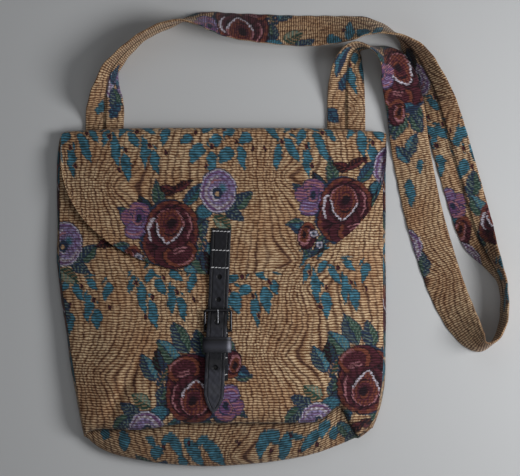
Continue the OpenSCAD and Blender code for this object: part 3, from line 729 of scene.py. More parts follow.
# colour, roughness and share of metal
PLAIN = {"Dark metal": ((0.045, 0.045, 0.05), 0.3, 1.0), "Steel": ((0.22, 0.225, 0.24), 0.34, 1.0),
         "Pale thread": ((0.62, 0.62, 0.64), 0.6, 0.0), "Table": ((0.57, 0.58, 0.59), 0.85, 0.0)}


def material(name):
    """The material of that name, made when it is first asked for."""
    made = bpy.data.materials.get(name)
    if made is None:
        made = MADE_UP[name](name) if name in MADE_UP else new_material(name, *PLAIN[name])[0]
    return made


def panel_grid(count_u, count_v):
    """Rows from top to bottom and columns from left to right, both from 0 to 1."""
    return np.meshgrid(np.linspace(0, 1, count_u), np.linspace(0, 1, count_v))


# knots of the grain: place, size and number of rings
FRONT_KNOTS = ((60, -55, 34, 5.5), (85, 10, 24, 4), (-120, -75, 30, 5))
FLAP_KNOTS = ((62, 118, 26, 5), (68, 36, 22, -4), (-105, 110, 26, 4.5))
BASE_KNOTS = ((10, 30, 30, 4),)
REPEAT_KNOTS = ((0, 0, 30, 5), (90, -60, 26, -4))
# settings of a mirrored hanging bunch: turn, size and flip
MIRRORED = (0, 1.0, -1)
# motifs as they lie on each piece: kind, place and settings
FRONT_MOTIFS = (
    ("hanging", -66, 4), ("hanging", 26, 5, *MIRRORED), ("hanging", 104, 14), ("hanging", -148, -4),
    ("posy", -29, -88, 180), ("posy", 138, -80, 180), ("posy", -203, 10),
    ("leaf", -113, 55, 30, 12, 200, *RED_LEAF))
FLAP_MOTIFS = (
    ("hanging", -8, 152), ("hanging", 78, 152, *MIRRORED), ("hanging", 150, 156), ("hanging", -93, 148),
    ("hanging", -155, 152, *MIRRORED), ("hanging", 104, 30), ("posy", -51, 62), ("posy", 120, 85))
BASE_DROPS = (
    (-124, 46, 14, 10, -80), (-116, 38, 16, 10, -100), (-97, 38, 24, 12, -88), (-70, 44, 16, 9, -60),
    (-66, 32, 20, 12, -100), (-56, 48, 16, 9, -120), (-46, 42, 34, 11, -66), (-28, 34, 40, 13, -64),
    (-8, 34, 42, 14, -62), (-22, 48, 18, 9, -140), (-40, 22, 18, 10, -76), (38, 40, 34, 12, -102),
    (50, 48, 22, 13, -60), (60, 32, 34, 13, -96), (70, 46, 24, 8, -20), (84, 36, 26, 13, -124),
    (98, 44, 20, 13, -100), (108, 34, 16, 10, -80))
BASE_BERRIES = ((-112, 48), (-58, 40), (-34, 46), (14, 46), (47, 34), (66, 48), (76, 28), (92, 30))
BASE_LEAVES = (
    ("leaf", -78, 16, 26, 16, 130), ("leaf", -62, 14, 24, 14, 60, *BLUE_LEAF),
    ("leaf", -52, 12, 20, 12, 200, *BLUE_LEAF), ("leaf", 118, 34, 26, 13, 120, *SPLIT_LEAF),
    ("leaf", 128, 26, 30, 13, 60))


def weave_base(loom):
    """Leaves and berries as they lie on the base; the sides carry on with bunches in the same way."""
    loom.ground(BASE_KNOTS)
    for x, y, long, wide, turn in BASE_DROPS:
        loom.drop(x, y, long, wide, turn)
    for x, y in BASE_BERRIES:
        loom.oval(x, y, 2.0, 3.4, 10, "burgundy")
    loom.lay(BASE_LEAVES)
    for k in range(1, 5):
        loom.posy(-150 - 120 * k, 20, 90, 0.8)
        loom.posy(150 + 120 * k, 10, -90, 0.8)
        loom.hanging(-110 - 100 * k, 6, 90)
        loom.hanging(110 + 100 * k, 6, -90)


def weave_repeat(loom, shift):
    """The same pattern in its plain repeat, for the panel that lies out of sight."""
    loom.ground(REPEAT_KNOTS)
    for j in range(-3, 4):
        for i in range(-6, 7):
            x, y = 168 * i + shift + 84 * (j % 2), 160 * j
            loom.posy(x, y, 180 * (j % 2))
            loom.hanging(x + 20, y + 82)
            loom.hanging(x - 60, y + 74, *MIRRORED)


# turned edges: steps inward and down from the edge
FRONT_HEM = ((0.0, 0.7), (0.6, 1.2), (6.0, 1.5))
FLAP_HEM = ((-0.5, 0.35), (-0.3, 0.9), (0.6, 1.25), (7.0, 1.3))
BACK_HEM = ((-0.2, -0.6), (0.5, -1.0), (5.0, -1.1))


class HAVERSACK_OT_front(Operator):
    """Front panel: the crowned wedge with its dents, puckers along the seams and turned edges"""

    bl_idname = "haversack.front"
    bl_label = "Front panel"

    def execute(self, context):
        form = Form()
        columns, rows = 311, 281
        u, v = panel_grid(columns, rows)
        y = lerp(form.y_mouth, form.y_corner, v)
        # the side seams lean, so the places across and along settle in a few rounds
        for _ in range(4):
            x = lerp(form.left_x(y) + form.side_bulge, form.right_x(y) - form.side_bulge, u)
            y = lerp(form.y_mouth, form.seam_y(x), v)
        edge = np.minimum(u, 1 - u) * form.width
        low = y - form.seam_y(x)
        clear = form.clear(x, 26)
        side_pucker = 0.5 * np.sin(y / 2.1 + 2 * noise(x / 30, y / 30)) * np.exp(-edge / 7) * smooth(edge / 2)
        base_pucker = 0.6 * np.sin(x / 2.6 + 3 * noise(x / 30, y / 40)) * np.exp(-low / 10) * clear
        slack = 0.7 * noise(x / 19, y / 23, 5) * clear * smooth((form.y_top - 130 - y) / 30)
        z = form.front_z(x, y) + side_pucker + base_pucker + slack - 2.2 * np.exp(-low / 3.0)
        grid = hem(np.stack([x, y, z], -1), FRONT_HEM, "lrb")
        x, y = grid[..., 0], grid[..., 1]
        loom = Loom(x, y)
        loom.ground(FRONT_KNOTS)
        loom.lay(FRONT_MOTIFS)
        # painted shade: the cloth's colours are darkened where it dips into the base seam
        low = np.maximum(y - form.seam_y(x), 0)
        loom.rgb *= (1 - 0.6 * np.exp(-low / 2.4)).reshape(-1, 1)
        piece = cloth_piece("front_panel", grid, loom, (x, y))
        return {"FINISHED"}


class HAVERSACK_OT_flap(Operator):
    """Flap: sewn margin, round fold and the rounded front run with a turned edge"""

    bl_idname = "haversack.flap"
    bl_label = "Flap"

    def execute(self, context):
        form = Form()
        columns, rows, even = 301, 150, 0.72
        a, t = np.meshgrid(np.linspace(-math.pi / 2, math.pi / 2, columns), np.linspace(0, 1, rows))
        # nearly even steps across the flap rather than even angles
        a = np.arcsin(np.clip(lerp(np.sin(a), 2 * a / math.pi, even), -1, 1))
        x = form.width / 2 * np.sin(a)
        y = lerp(form.fold_y, form.flap_edge(a), t)
        lift = form.flap_lift * t ** 5 * np.sin(a) ** 2
        clear = 1 - bell(x + 4, 24) * smooth((60 - y) / 20)
        slack = 0.5 * noise(x / 24, y / 20, 6) * clear * smooth((form.fold_y - y) / 30)
        pucker = 0.35 * np.sin(x / 3.1 + 3 * noise(x / 40, y / 30)) * t ** 9 * clear
        z = form.plain_z(x, y) + lift + form.flap_top + slack + pucker
        run = np.stack([x, y, z], -1)
        # the margin is narrower than the fold and widens by a part of the difference up to it
        margin_rows, fold_rows, narrow, widened = 11, 25, 0.86, 3 / 11
        top_x, top_z = x[:1], z[:1]
        f = np.linspace(0, math.pi, fold_rows + 1)[:-1, None]
        r = (top_z - form.margin_z) / 2
        fold = np.stack([lerp(narrow * top_x, top_x, np.linspace(widened, 1, fold_rows)[:, None]),
                         form.fold_y + r * np.sin(f), form.margin_z + r * (1 - np.cos(f))], -1)
        k = np.linspace(0, 1, margin_rows + 1)[:-1, None]
        margin = np.stack([lerp(narrow * top_x, top_x, k * widened),
                           form.fold_y - form.flap_margin * (1 - k) + 0 * top_x,
                           form.margin_z + 0 * (k + top_x)], -1)
        grid = np.concatenate([margin, fold, run])
        along = travelled(grid)
        run_start = margin_rows + fold_rows
        along = form.fold_y + along[run_start:run_start + 1] - along
        grid = hem(grid, FLAP_HEM, "b")
        along = np.concatenate([along, np.repeat(along[-1:], len(FLAP_HEM), 0)])
        loom = Loom(grid[..., 0], along)
        loom.ground(FLAP_KNOTS)
        loom.lay(FLAP_MOTIFS)
        piece = cloth_piece("flap", grid, loom, (grid[..., 0], along))
        return {"FINISHED"}


class HAVERSACK_OT_gusset(Operator):
    """Gusset: one strip round the sides and base, each ring a soft bow from the back to the front seam"""

    bl_idname = "haversack.gusset"
    bl_label = "Gusset"

    def execute(self, context):
        form = Form()
        side_rings, base_rings, ring_points = 170, 330, 44
        side_over, base_over, side_dip, base_dip, corner_turn = 2, 7, 0.9, 2.9, 62
        # for each ring: place on the outline and on the seam, way out, and how far the bow starts inside
        y = np.linspace(form.y_mouth, form.y_corner, side_rings)
        none = 0 * y
        left = form.left_x(y), y, form.left_x(y) + form.side_bulge, y, none - 1, none, none + side_over
        right = form.right_x(y), y, form.right_x(y) - form.side_bulge, y, none + 1, none, none + side_over
        k = np.linspace(0, 1, base_rings)
        x = lerp(form.left_x(form.y_corner) + form.side_bulge + 1,
                 form.right_x(form.y_corner) - form.side_bulge - 1, k)
        turn = np.radians(lerp(-corner_turn, corner_turn, k) * np.abs(2 * k - 1) ** 6)
        base = x, form.base_y(x), x, form.seam_y(x), np.sin(turn), -np.cos(turn), base_over + 0 * x
        rows = [np.concatenate([a, b, c[::-1]])[:, None] for a, b, c in zip(left, base, right)]
        outline, seam, way = (np.stack(rows[n:n + 2], -1) for n in (0, 2, 4))
        over = rows[6]
        low_z = form.cloth * 0.6
        # the seam lies a little below the front's edge, more so at the base
        seam_z = form.front_z(seam[..., 0], seam[..., 1]) - np.where(over > side_over, base_dip, side_dip)
        start = outline - way * over[..., None]
        reach = np.maximum(((start - seam) * way).sum(-1), 0)
        bow = start + way * (over + np.sqrt(over * over + over * reach))[..., None]
        # a curve of the second order from the start over the bow to the seam
        v = np.linspace(0, 1, ring_points)[None, :]
        w0, w1, w2 = (1 - v) ** 2, 2 * v * (1 - v), v * v
        xy = w0[..., None] * start + w1[..., None] * bow + w2[..., None] * seam
        z = w0 * low_z + w1 * lerp(low_z, seam_z, 0.45) + w2 * seam_z
        s = travelled(xy[:, ring_points // 2])[:, None]
        near_seams = np.exp(-(1 - v) / 0.16) + 0.4 * np.exp(-v / 0.2)
        gather = 0.45 * np.sin(s / 2.3 + 3 * noise(s / 40, v * 2)) * near_seams
        gather = gather + 0.8 * noise(s / 16, v * 2.2, 7) * np.sin(np.pi * v)
        grid = np.concatenate([xy + way * gather[..., None], z[..., None]], -1)
        # both long edges are turned in
        lead, tuck = (np.concatenate([-way * inward, 0 * way[..., :1] - down], -1)
                      for inward, down in ((5, 0.3), (2.5, 1.2)))
        grid = np.concatenate([grid[:, :1] + lead, grid, grid[:, -1:] + tuck], 1)
        wide = travelled(grid, 1)
        # the pattern's place along the strip is the base's own x, and carries on up the sides
        s = np.repeat(s, grid.shape[1], 1)
        first, last = side_rings, side_rings + base_rings - 1
        s = s - s[first:first + 1] + x[0]
        s[first:last] = lerp(x[0], x[-1], k[:-1])[:, None]
        s[last:] = s[last:] - s[last:last + 1] + x[-1]
        loom = Loom(s, wide)
        weave_base(loom)
        # painted shade: the whole strip is a fifth darker, and much darker along the front seam on the base,
        # where the cloth tucks into the crease
        on_base = smooth((s - x[0]) / 8) * smooth((x[-1] - s) / 8)
        shade = 0.8 - 0.65 * bell(wide[:, -2:-1] - wide, 3.0) * on_base
        loom.rgb *= shade.reshape(-1, 1)
        piece = cloth_piece("gusset", grid, loom, (s, wide))
        return {"FINISHED"}


class HAVERSACK_OT_back(Operator):
    """Back panel: a flat sheet on the table with its outer face down"""

    bl_idname = "haversack.back"
    bl_label = "Back panel"

    def execute(self, context):
        form = Form()
        count, inset, base_inset = 190, 2, 6
        u, v = panel_grid(count, count)
        top = form.y_top - form.back_set
        level = lerp(top, form.y_corner - inset, v)
        x = lerp(form.left_x(level) + inset, form.right_x(level) - inset, u)
        y = lerp(top, form.base_y(np.clip(x, -130, 142)) + base_inset, v)
        edge = np.minimum(np.minimum(u, 1 - u), np.minimum(v, 1 - v)) * form.width
        z = TABLE_GAP + 0.7 * np.exp(-edge / 2.0)
        grid = hem(np.stack([x, y, z], -1), BACK_HEM, "lrbt")
        loom = Loom(-grid[..., 0], grid[..., 1])
        weave_repeat(loom, 40)
        piece = cloth_piece("back_panel", grid, loom, (grid[..., 0], grid[..., 1]),
                            quads(*grid.shape[:2])[:, ::-1])
        return {"FINISHED"}


# stations of the strap: x, y from the bag's top, turn about its own line in degrees, and lift
STRAP_ROUTE = (
    (-119, -14, 180, 1.4), (-119, 5, 180, 1.4), (-118, 19, 196, 0.4), (-116, 39, 233, 0), (-109, 61, 256, 0),
    (-82, 88, 268, 0), (-50, 103, 272, 0), (-23, 107, 298, 0), (15, 101, 320, 0), (75, 97, 331, 0),
    (115, 98, 321, 0), (144, 100, 303, 0), (170, 92, 280, 0), (190, 73, 246, 0), (208, 39, 226, 0),
    (219, 6, 203, 0), (236, -52, 193, 0), (250, -101, 208, 0), (262, -127, 244, 0), (275, -154, 268, 0),
    (276, -186, 271, 0), (269, -207, 276, 0), (258, -215, 286, 0), (247, -208, 303, 0), (232, -183, 326, 0),
    (217, -146, 340, 0), (199, -85, 345, 0), (186, -21, 350, 1), (179, 28, 360, 7), (169, 60, 385, 6),
    (152, 76, 428, 2), (134, 80, 455, 0), (124, 70, 490, 0), (122, 46, 523, 0), (122, 20, 538, 0.6),
    (122, 5, 540, 1.4), (122, -14, 540, 1.4))
STRAP_RINGS = 900
FACE_POINTS = 33
# the seamed face shows other parts of the cloth: shifts along it, and across for its two halves
SEAM_SHIFT = 37
RIGHT_HALF, LEFT_HALF = -60, 75
# knots on the strap: place across, station, shift, size and rings; then motifs: kind, across, station
STRAP_KNOTS = ((-10, 11, 0, 24, 5), (8, 25, 0, 26, 5), (66, 14.3, SEAM_SHIFT, 22, 6),
               (70, 34, SEAM_SHIFT, 20, 5))
STRAP_FACE = (
    ("hanging", -26, 10.4, 90), ("posy", -3, 28.6, 0, 0.92), ("pansy", 17, 28.95, 0, 0.9),
    ("bud", 9, 27.75, 20), ("leaf", -9, 27.5, 24, 13, 70), ("leaf", -2, 27.1, 26, 13, 120, "teal"),
    ("leaf", 8, 26.95, 22, 12, 60, "teal"), ("leaf", 14, 25.3, 28, 14, 100), ("drop", 8, 26.35, 30, 10, -85),
    ("drop", -6, 26.7, 16, 7, -70), ("bloom", 24, 25.6, 0, 0.8))
STRAP_SEAMED = (
    ("bloom", -46, 13.6, 0, 0.85), ("leaf", -50, 13.1, 30, 15, 70, *SHADE_LEAF), ("hanging", -50, 14.7, 180),
    ("hanging", -50, 15.3, 180), ("pansy", -46, 16.35, 30, 0.9), ("bud", -48, 16.9, 160),
    ("bloom", -38, 17.6, 0, 0.7), ("hanging", 66, 15.45, 170, 1.0, -1), ("leaf", 64, 16.1, 30, 15, 250),
    ("leaf", 66, 16.5, 28, 16, 290, *SPLIT_LEAF), ("leaf", 70, 17.2, 26, 13, 250),
    ("rose", 50, 17.0, 170, 0.75), ("hanging", 64, 18.8, 170, 1.0, -1), ("bloom", -48, 3.2, 0, 0.8),
    ("leaf", -52, 3.75, 26, 12, 80, *BLUE_LEAF), ("leaf", -50, 2.55, 26, 15, 100),
    ("leaf", -50, 2.0, 18, 11, 60, *BLUE_LEAF), ("drop", 70, 2.2, 18, 8, 80), ("hanging", 70, 32.2, 180),
    ("leaf", -48, 32.2, 30, 13, 90, "teal", "navy"), ("leaf", -58, 32.9, 24, 12, 250, *BLUE_LEAF),
    ("leaf", -46, 34.4, 20, 14, 130, *BLUE_LEAF))


def strap_line(form, s):
    """Middle line and turn of the strap at the stations s: a cubic curve through its route.

    Where the strap stands on edge, its middle rises by half its width times the sine of its turn.
    """
    route = np.array(STRAP_ROUTE, float)
    last = len(route) - 1
    k = np.clip(np.floor(s).astype(int), 0, last - 1)
    t = (s - k)[:, None]
    a, b, c, d = (route[np.clip(k + o, 0, last)] for o in (-1, 0, 1, 2))
    r = 0.5 * (2 * b + (c - a) * t + (2 * a - 5 * b + 4 * c - d) * t * t + (3 * b - a - 3 * c + d) * t ** 3)
    turn = np.radians(r[:, 2])
    soft, above_table = 0.03, 0.3
    rise = np.sqrt(np.sin(turn) ** 2 + soft ** 2) - soft
    z = above_table + r[:, 3] + form.strap_t / 2 + (form.strap_w - form.strap_t) / 2 * rise
    return np.stack([r[:, 0], form.y_top + r[:, 1], z], -1), turn


class HAVERSACK_OT_strap(Operator):
    """Shoulder strap: a flat double band swept and turned along its route, seamed on one face"""

    bl_idname = "haversack.strap"
    bl_label = "Shoulder strap"

    def execute(self, context):
        form = Form()
        fine = np.linspace(0, len(STRAP_ROUTE) - 1, 6000)
        gone = travelled(strap_line(form, fine)[0])
        total = gone[-1]
        d = np.linspace(0, total, STRAP_RINGS)
        s = np.interp(d, gone, fine)
        mid, turn = strap_line(form, s)
        step = 0.02
        along = unit(strap_line(form, s + step)[0] - strap_line(form, s - step)[0])
        flat = unit(np.cross([0.0, 0.0, 1.0], along))
        up = np.cross(along, flat)
        across_way = np.cos(turn)[:, None] * flat + np.sin(turn)[:, None] * up
        face_way = np.cross(along, across_way)
        # one ring: the plain face, an edge, the seamed face with its ridge, the other edge
        h, q = form.strap_w / 2, form.strap_t / 2
        p = np.linspace(-h + 0.4, h - 0.4, FACE_POINTS)
        pillow = 1 - 0.55 * (np.abs(p) / h) ** 8
        ring_x = np.concatenate([p, [h], p[::-1], [-h]])
        ring_y = np.concatenate([q * pillow, [0], -q * pillow[::-1] + bell(p, 1.1), [0]])
        d = d[:, None]
        gather = 0.35 * np.sin(d / 3.0 + 2 * noise(d / 30, 0 * d)) * np.exp(-(h - np.abs(ring_x)) / 2.5)
        ring_y = ring_y + (gather + 0.45 * noise(d / 17, ring_x / 9, 8))
        grid = (mid[:, None] + across_way[:, None] * ring_x[None, :, None]
                + face_way[:, None] * ring_y[..., None])
        seamed = np.arange(len(ring_x)) > FACE_POINTS
        half = np.where(ring_x > 0, RIGHT_HALF, LEFT_HALF)
        across = ring_x + seamed * half + 0 * d
        place = d + SEAM_SHIFT * seamed
        loom = Loom(across, place)
        self.weave(loom, fine, gone)
        # a dark line along the seam
        seam_half, seam_shade, finer = 1.3, 0.3, 1.2
        on_seam = seamed & (np.abs(ring_x) < seam_half)
        loom.rgb *= np.tile(np.where(on_seam, seam_shade, 1.0), STRAP_RINGS)[:, None]
        # its ribs are a little finer than those of the bag
        piece = cloth_piece("shoulder_strap", grid, loom, (finer * across, finer * place),
                            pipe(*grid.shape[:2]))
        return {"FINISHED"}

    def weave(self, loom, fine, gone):
        """Bunches along the strap: stations become lengths, and each face has its own list."""
        def arc(station):
            return float(np.interp(station, fine, gone))

        loom.ground([(x, arc(station) + shift, size, rings)
                     for x, station, shift, size, rings in STRAP_KNOTS])
        loom.posy(2, arc(7.9) + 8, 90)
        for rows, shift in ((STRAP_FACE, 0), (STRAP_SEAMED, SEAM_SHIFT)):
            loom.lay([(kind, x, arc(station) + shift, *more) for kind, x, station, *more in rows])


def closure(form, points):
    """Moves points from the closure's own axes to the frame: they tilt with the front's crown."""
    tilt = -math.atan(form.crown_slope)
    x, y, z = points[..., 0], points[..., 1], points[..., 2]
    return np.stack([form.buckle_x + x, form.buckle_y + y * math.cos(tilt) - z * math.sin(tilt),
                     form.crown(form.buckle_y) + y * math.sin(tilt) + z * math.cos(tilt)], -1)


def billet_low(y, over=6.4, under=0.9, front=1.2, tip=0.5, tab_top=3.9, flap_top=3.0):
    """Height of the leather strap's lower face along the closure, from smooth steps.

    From the top it lies on the flap, on the front, under the end bar, over the tab's folded end, on
    the tab and, at its tip, on the front again.
    """
    on_flap = lerp(front, flap_top, smooth((y - 38) / 15))
    on_front = lerp(under, front, smooth((y - 22) / 14))
    at_bars = lerp(over, under, smooth((y - 1) / 17))
    on_tab = lerp(tab_top, over, smooth((y + 38) / 12))
    at_tip = lerp(tip, tab_top, smooth((y + 64) / 14))
    return np.select([y > 38, y > 18, y > -20, y > -42], [on_flap, on_front, at_bars, on_tab], at_tip)


def slant(points):
    """Turns points of the leather strap by its small slant on the bag, about its middle."""
    angle, middle, shift = math.radians(-2.4), 10, -0.6
    x, y = points[..., 0], points[..., 1] - middle
    return np.stack([shift + x * math.cos(angle) - y * math.sin(angle),
                     middle + x * math.sin(angle) + y * math.cos(angle), points[..., 2]], -1)


def painted_sheen_and_shade_tone(shade):
    """Leather colours of a shade: 1 is plain black leather, more is a painted grey sheen, and less is darker.
    """
    tone = np.array([0.0245, 0.0252, 0.0325]) * np.asarray(shade).reshape(-1, 1)
    return np.concatenate([tone, np.ones((len(tone), 1))], 1)


class HAVERSACK_OT_leather(Operator):
    """Leather strap, keeper and tab: swept bands with rounded edges, creased lines and holes"""

    bl_idname = "haversack.leather"
    bl_label = "Leather"

    def execute(self, context):
        form = Form()
        self.billet(form)
        self.keeper(form)
        tab = bpy.data.objects["buckle_tab"]
        tab.data.materials.clear()
        tab.data.materials.append(material("Black leather"))
        edge = tab.modifiers.new("Edge", "BEVEL")
        edge.width, edge.segments, edge.limit_method = 0.35 * MM, 2, "ANGLE"
        return {"FINISHED"}

    def billet(self, form):
        """Pointed strap: its half width falls to nought over the tip, its top is pressed in, and its tone
        carries painted sheen and painted shade.
        """
        up, down, hole_r, tip = form.billet_up, form.billet_down, form.hole_d / 2, 20
        rows, columns, under_columns, blunt, middle_hole, hole_depth = 470, 53, 9, 0.15, 8.5, 1.5
        y = np.linspace(-down + blunt, up, rows)[:, None]
        t = clamp((-down + tip - y) / tip)
        half = form.billet_w / 2 * np.maximum(1 - t ** 1.7, 0) ** 0.8
        p = np.linspace(-1, 1, columns)[None, :]
        x = half * p
        inset = half - np.abs(x)
        groove = bell(inset - form.groove_in, form.groove_w / 2) * smooth(half - 4)
        top = form.billet_t - 0.5 * np.exp(-np.minimum(inset, up - y) / 0.5) - 0.28 * groove
        # painted sheen where it bends over the tab, between the holes and towards the tip; painted shade in
        # the creased lines
        shade = (0.5 + 0.7 * bell(y + 3, 7) + 0.4 * smooth((62 - y) / 4) * smooth((y - 22) / 4)
                 + smooth((-34 - y) / 8) * (1.2 - 0.4 * p ** 4)) * (1 - 0.8 * groove)
        shade = shade * (1 + 0.35 * noise(x / 0.9, y / 1.6, 3))
        # each hole is a dimple, darkened inside with painted shade
        for k in (-2, -1, 0, 1, 2):
            far = np.hypot(x, y - middle_hole - k * form.hole_pitch)
            top = top - hole_depth * smooth((hole_r + 0.3 - far) / 0.5)
            shade = shade * (1 - 0.9 * smooth((hole_r - far) / 0.5))
        low = billet_low(y)
        upper = np.stack([x, y + 0 * x, low + top], -1)
        q = np.linspace(1, -1, under_columns)[None, :]
        under = np.stack([half * q, y + 0 * q, low + 0.25 * q ** 8], -1)
        grid = closure(form, slant(np.concatenate([upper, under], 1)))
        shade = np.concatenate([shade, 0.5 + 0 * (y + q)], 1)
        mesh_piece("billet_leather", grid, pipe(*grid.shape[:2])[:, ::-1], "bag", ("billet",),
                   material("Worn leather"), painted_sheen_and_shade_tone(shade))

    def keeper(self, form):
        """Loop with a flat section: a rounded rectangle, the sum of a core and a turning radius."""
        low, top, bend, long = form.keeper_low, form.keeper_top, form.keeper_bend, form.keeper_len
        around, outer, inner, aside, start, square = 120, 25, 9, 0.7, 6, 0.35
        a = np.linspace(0, 2 * math.pi, around + 1)[:-1]
        rim = np.stack([np.cos(a), np.sin(a)], -1)
        core = np.sign(rim) * np.abs(rim) ** square * [form.keeper_w / 2 - bend, (top - low) / 2 - bend]
        # the section runs along the outer face, with its crease, and back along the inner one
        p = np.concatenate([np.linspace(0, 1, outer), np.linspace(1, 0, inner)])
        inset = np.minimum(p, 1 - p) * long
        round_off = 0.25 * np.exp(-inset / 0.5)
        level = np.where(np.arange(len(p)) < outer, -round_off - 0.4 * bell(inset - 2.6, 0.7),
                         round_off - form.keeper_t)
        ring = core[:, None] + rim[:, None] * (bend + level)[None, :, None]
        grid = np.stack([ring[..., 0] - aside, -start - p[None] * long + 0 * ring[..., 0],
                         ring[..., 1] + (low + top) / 2], -1)
        # painted highlight along its middle and at its right end, and painted shade in its crease
        shade = ((0.7 + 1.0 * bell(p - 0.62, 0.2)) * (1 - 0.85 * bell(p * long - 2.8, 0.7))
                 * (1 + 3.4 * smooth((grid[..., 0] - 8) / 3) * smooth((grid[..., 2] - 6) / 2)))
        mesh_piece("keeper_leather", closure(form, grid), quads(*grid.shape[:2], wrap=True, loop=True),
                   "keeper_loop", ("keeper",), material("Worn leather"), painted_sheen_and_shade_tone(shade))


def tube(path, radius, around, closed=False):
    """Points and faces of a round tube along a path, with its own radius at each point of the path."""
    along = unit(np.roll(path, -1, 0) - np.roll(path, 1, 0) if closed else np.gradient(path, axis=0))
    steep = np.abs(along[:, 2:3]) > 0.9
    side = unit(np.cross(np.where(steep, [[1.0, 0.0, 0.0]], [[0.0, 0.0, 1.0]]), along))
    up = np.cross(along, side)
    a = np.linspace(0, 2 * math.pi, around, endpoint=False)[None, :, None]
    radius = np.broadcast_to(np.asarray(radius, float), (len(path),))[:, None, None]
    ring = path[:, None] + radius * (np.cos(a) * side[:, None] + np.sin(a) * up[:, None])
    size = ring.shape[:2]
    faces = quads(*size, wrap=True, loop=True) if closed else pipe(*size)
    return ring, faces[:, ::-1]


def joined(tubes):
    """Points and faces of several tubes as one mesh."""
    points, faces, count = [], [], 0
    for ring, sides in tubes:
        points.append(ring.reshape(-1, 3))
        faces.append(sides + count)
        count += ring.size // 3
    return np.concatenate(points), np.concatenate(faces)


class HAVERSACK_OT_buckle(Operator):
    """Buckle: a round-bar frame with a thin heel bar, and the bright prong on it"""

    bl_idname = "haversack.buckle"
    bl_label = "Buckle"

    def execute(self, context):
        form = Form()
        self.bars(form)
        self.prong(form)
        return {"FINISHED"}

    def bars(self, form):
        """Frame: one closed tube round the side bars, the end bar and the thinner heel bar."""
        bar, heel = form.bar_d / 2, form.heel_d / 2
        run, bend, half = form.frame_len, form.frame_bend, form.frame_in / 2 + bar
        a = np.linspace(0, math.pi / 2, 9)
        right = np.stack([half - bend + bend * np.cos(a), run - bend + bend * np.sin(a)], -1)
        left = right[::-1] * [-1, 1]
        # the side bars end a little above the heel bar, and the heel bar a little inside them
        rise, neck = 0.6, half - 0.8
        loop = np.concatenate([
            np.linspace((half, rise), right[0], 14)[1:-1], right,
            np.linspace(right[-1], left[0], 18)[1:-1], left,
            np.linspace(left[-1], (-half, rise), 14)[1:-1], [[-half, 0.0], [-neck, 0.0]],
            np.linspace((-neck, 0), (neck, 0), 20)[1:-1], [[neck, 0.0], [half, 0.0]]])
        height = lerp(form.heel_z, form.end_z, loop[:, 1] / run)
        radius = np.where((loop[:, 1] < 0.1) & (np.abs(loop[:, 0]) < half - 0.4), heel, bar)
        points, faces = tube(np.concatenate([loop, height[:, None]], 1), radius, 24, True)
        mesh_piece("buckle_frame_metal", closure(form, points), faces, "bag", ("buckle_frame",),
                   material("Dark metal"))

    def prong(self, form):
        """Prong: a tapered rod with a round tip that rests on the end bar, and an eye round the heel bar."""
        run, eye_r, rod_r, wire_r = form.frame_len, 1.8, 0.9, 0.48
        tilt = math.atan((form.end_z + form.bar_d / 2 + 0.15 + rod_r - form.heel_z) / run)
        y = np.linspace(eye_r, run + 1.6, 60)
        path = np.stack([0 * y, y * math.cos(tilt), form.heel_z + y * math.sin(tilt)], -1)
        tip = np.sqrt(np.maximum(1 - clamp((y - run) / 1.62) ** 2, 0.02))
        taper = form.prong_w / 2 * lerp(1.0, 0.8, y / y[-1]) * tip
        rod = tube(path, np.minimum(taper, rod_r + 0.2 * (y < run)), 16)
        turn = np.linspace(0, 2 * math.pi, 41)[:-1]
        circle = np.stack([0 * turn, eye_r * np.cos(turn), form.heel_z + eye_r * np.sin(turn)], -1)
        points, faces = joined([rod, tube(circle, wire_r, 12, True)])
        mesh_piece("buckle_prong_metal", closure(form, points), faces, "prong", ("buckle_prong",),
                   material("Steel"))


class HAVERSACK_OT_stitches(Operator):
    """Pale stitches: rows of short arched threads across the leather"""

    bl_idname = "haversack.stitches"
    bl_label = "Stitches"

    def execute(self, context):
        form = Form()
        # rows: place along the closure, height and width
        on_billet = [(y, float(billet_low(np.array(y))) + form.billet_t, 17.6) for y in (97.0, 78.4, 61.4)]
        on_tab = ((-2.2, 6.15, 19.0), (-26.0, 6.05, 19.0), (-42.3, 3.65, 19.0))
        self.rows(form, "billet_stitches", on_billet, slant)
        self.rows(form, "tab_stitches", on_tab, np.asarray)
        return {"FINISHED"}

    def rows(self, form, name, rows, place):
        """Five stitches a row: arches of the fourth power with thin ends, the outer two thicker."""
        t = np.linspace(-1, 1, 11)
        slope, sunk, arch, share, thin, thick, around = 0.25, 0.25, 0.5, 0.44, 0.42, 0.58, 8
        tubes = []
        for y, z, wide in rows:
            pitch = wide / 5
            for k in (-2, -1, 0, 1, 2):
                path = np.stack([k * pitch + t * pitch * share, y + slope * t,
                                 z - sunk + arch * (1 - t ** 4)], -1)
                ring, sides = tube(path, (thick if abs(k) == 2 else thin) * np.sqrt(1.02 - t ** 6), around)
                tubes.append((place(ring), sides))
        points, faces = joined(tubes)
        mesh_piece(name, closure(form, points), faces, "bag", (), material("Pale thread"))


class HAVERSACK_OT_linings(Operator):
    """Linings: the frame's own plain cloth, with their material"""

    bl_idname = "haversack.linings"
    bl_label = "Linings"

    def execute(self, context):
        for name in ("lining_back", "lining_front", "flap_lining"):
            cloth = bpy.data.objects[name].data
            cloth.materials.clear()
            cloth.materials.append(material("Lining cloth"))
        return {"FINISHED"}


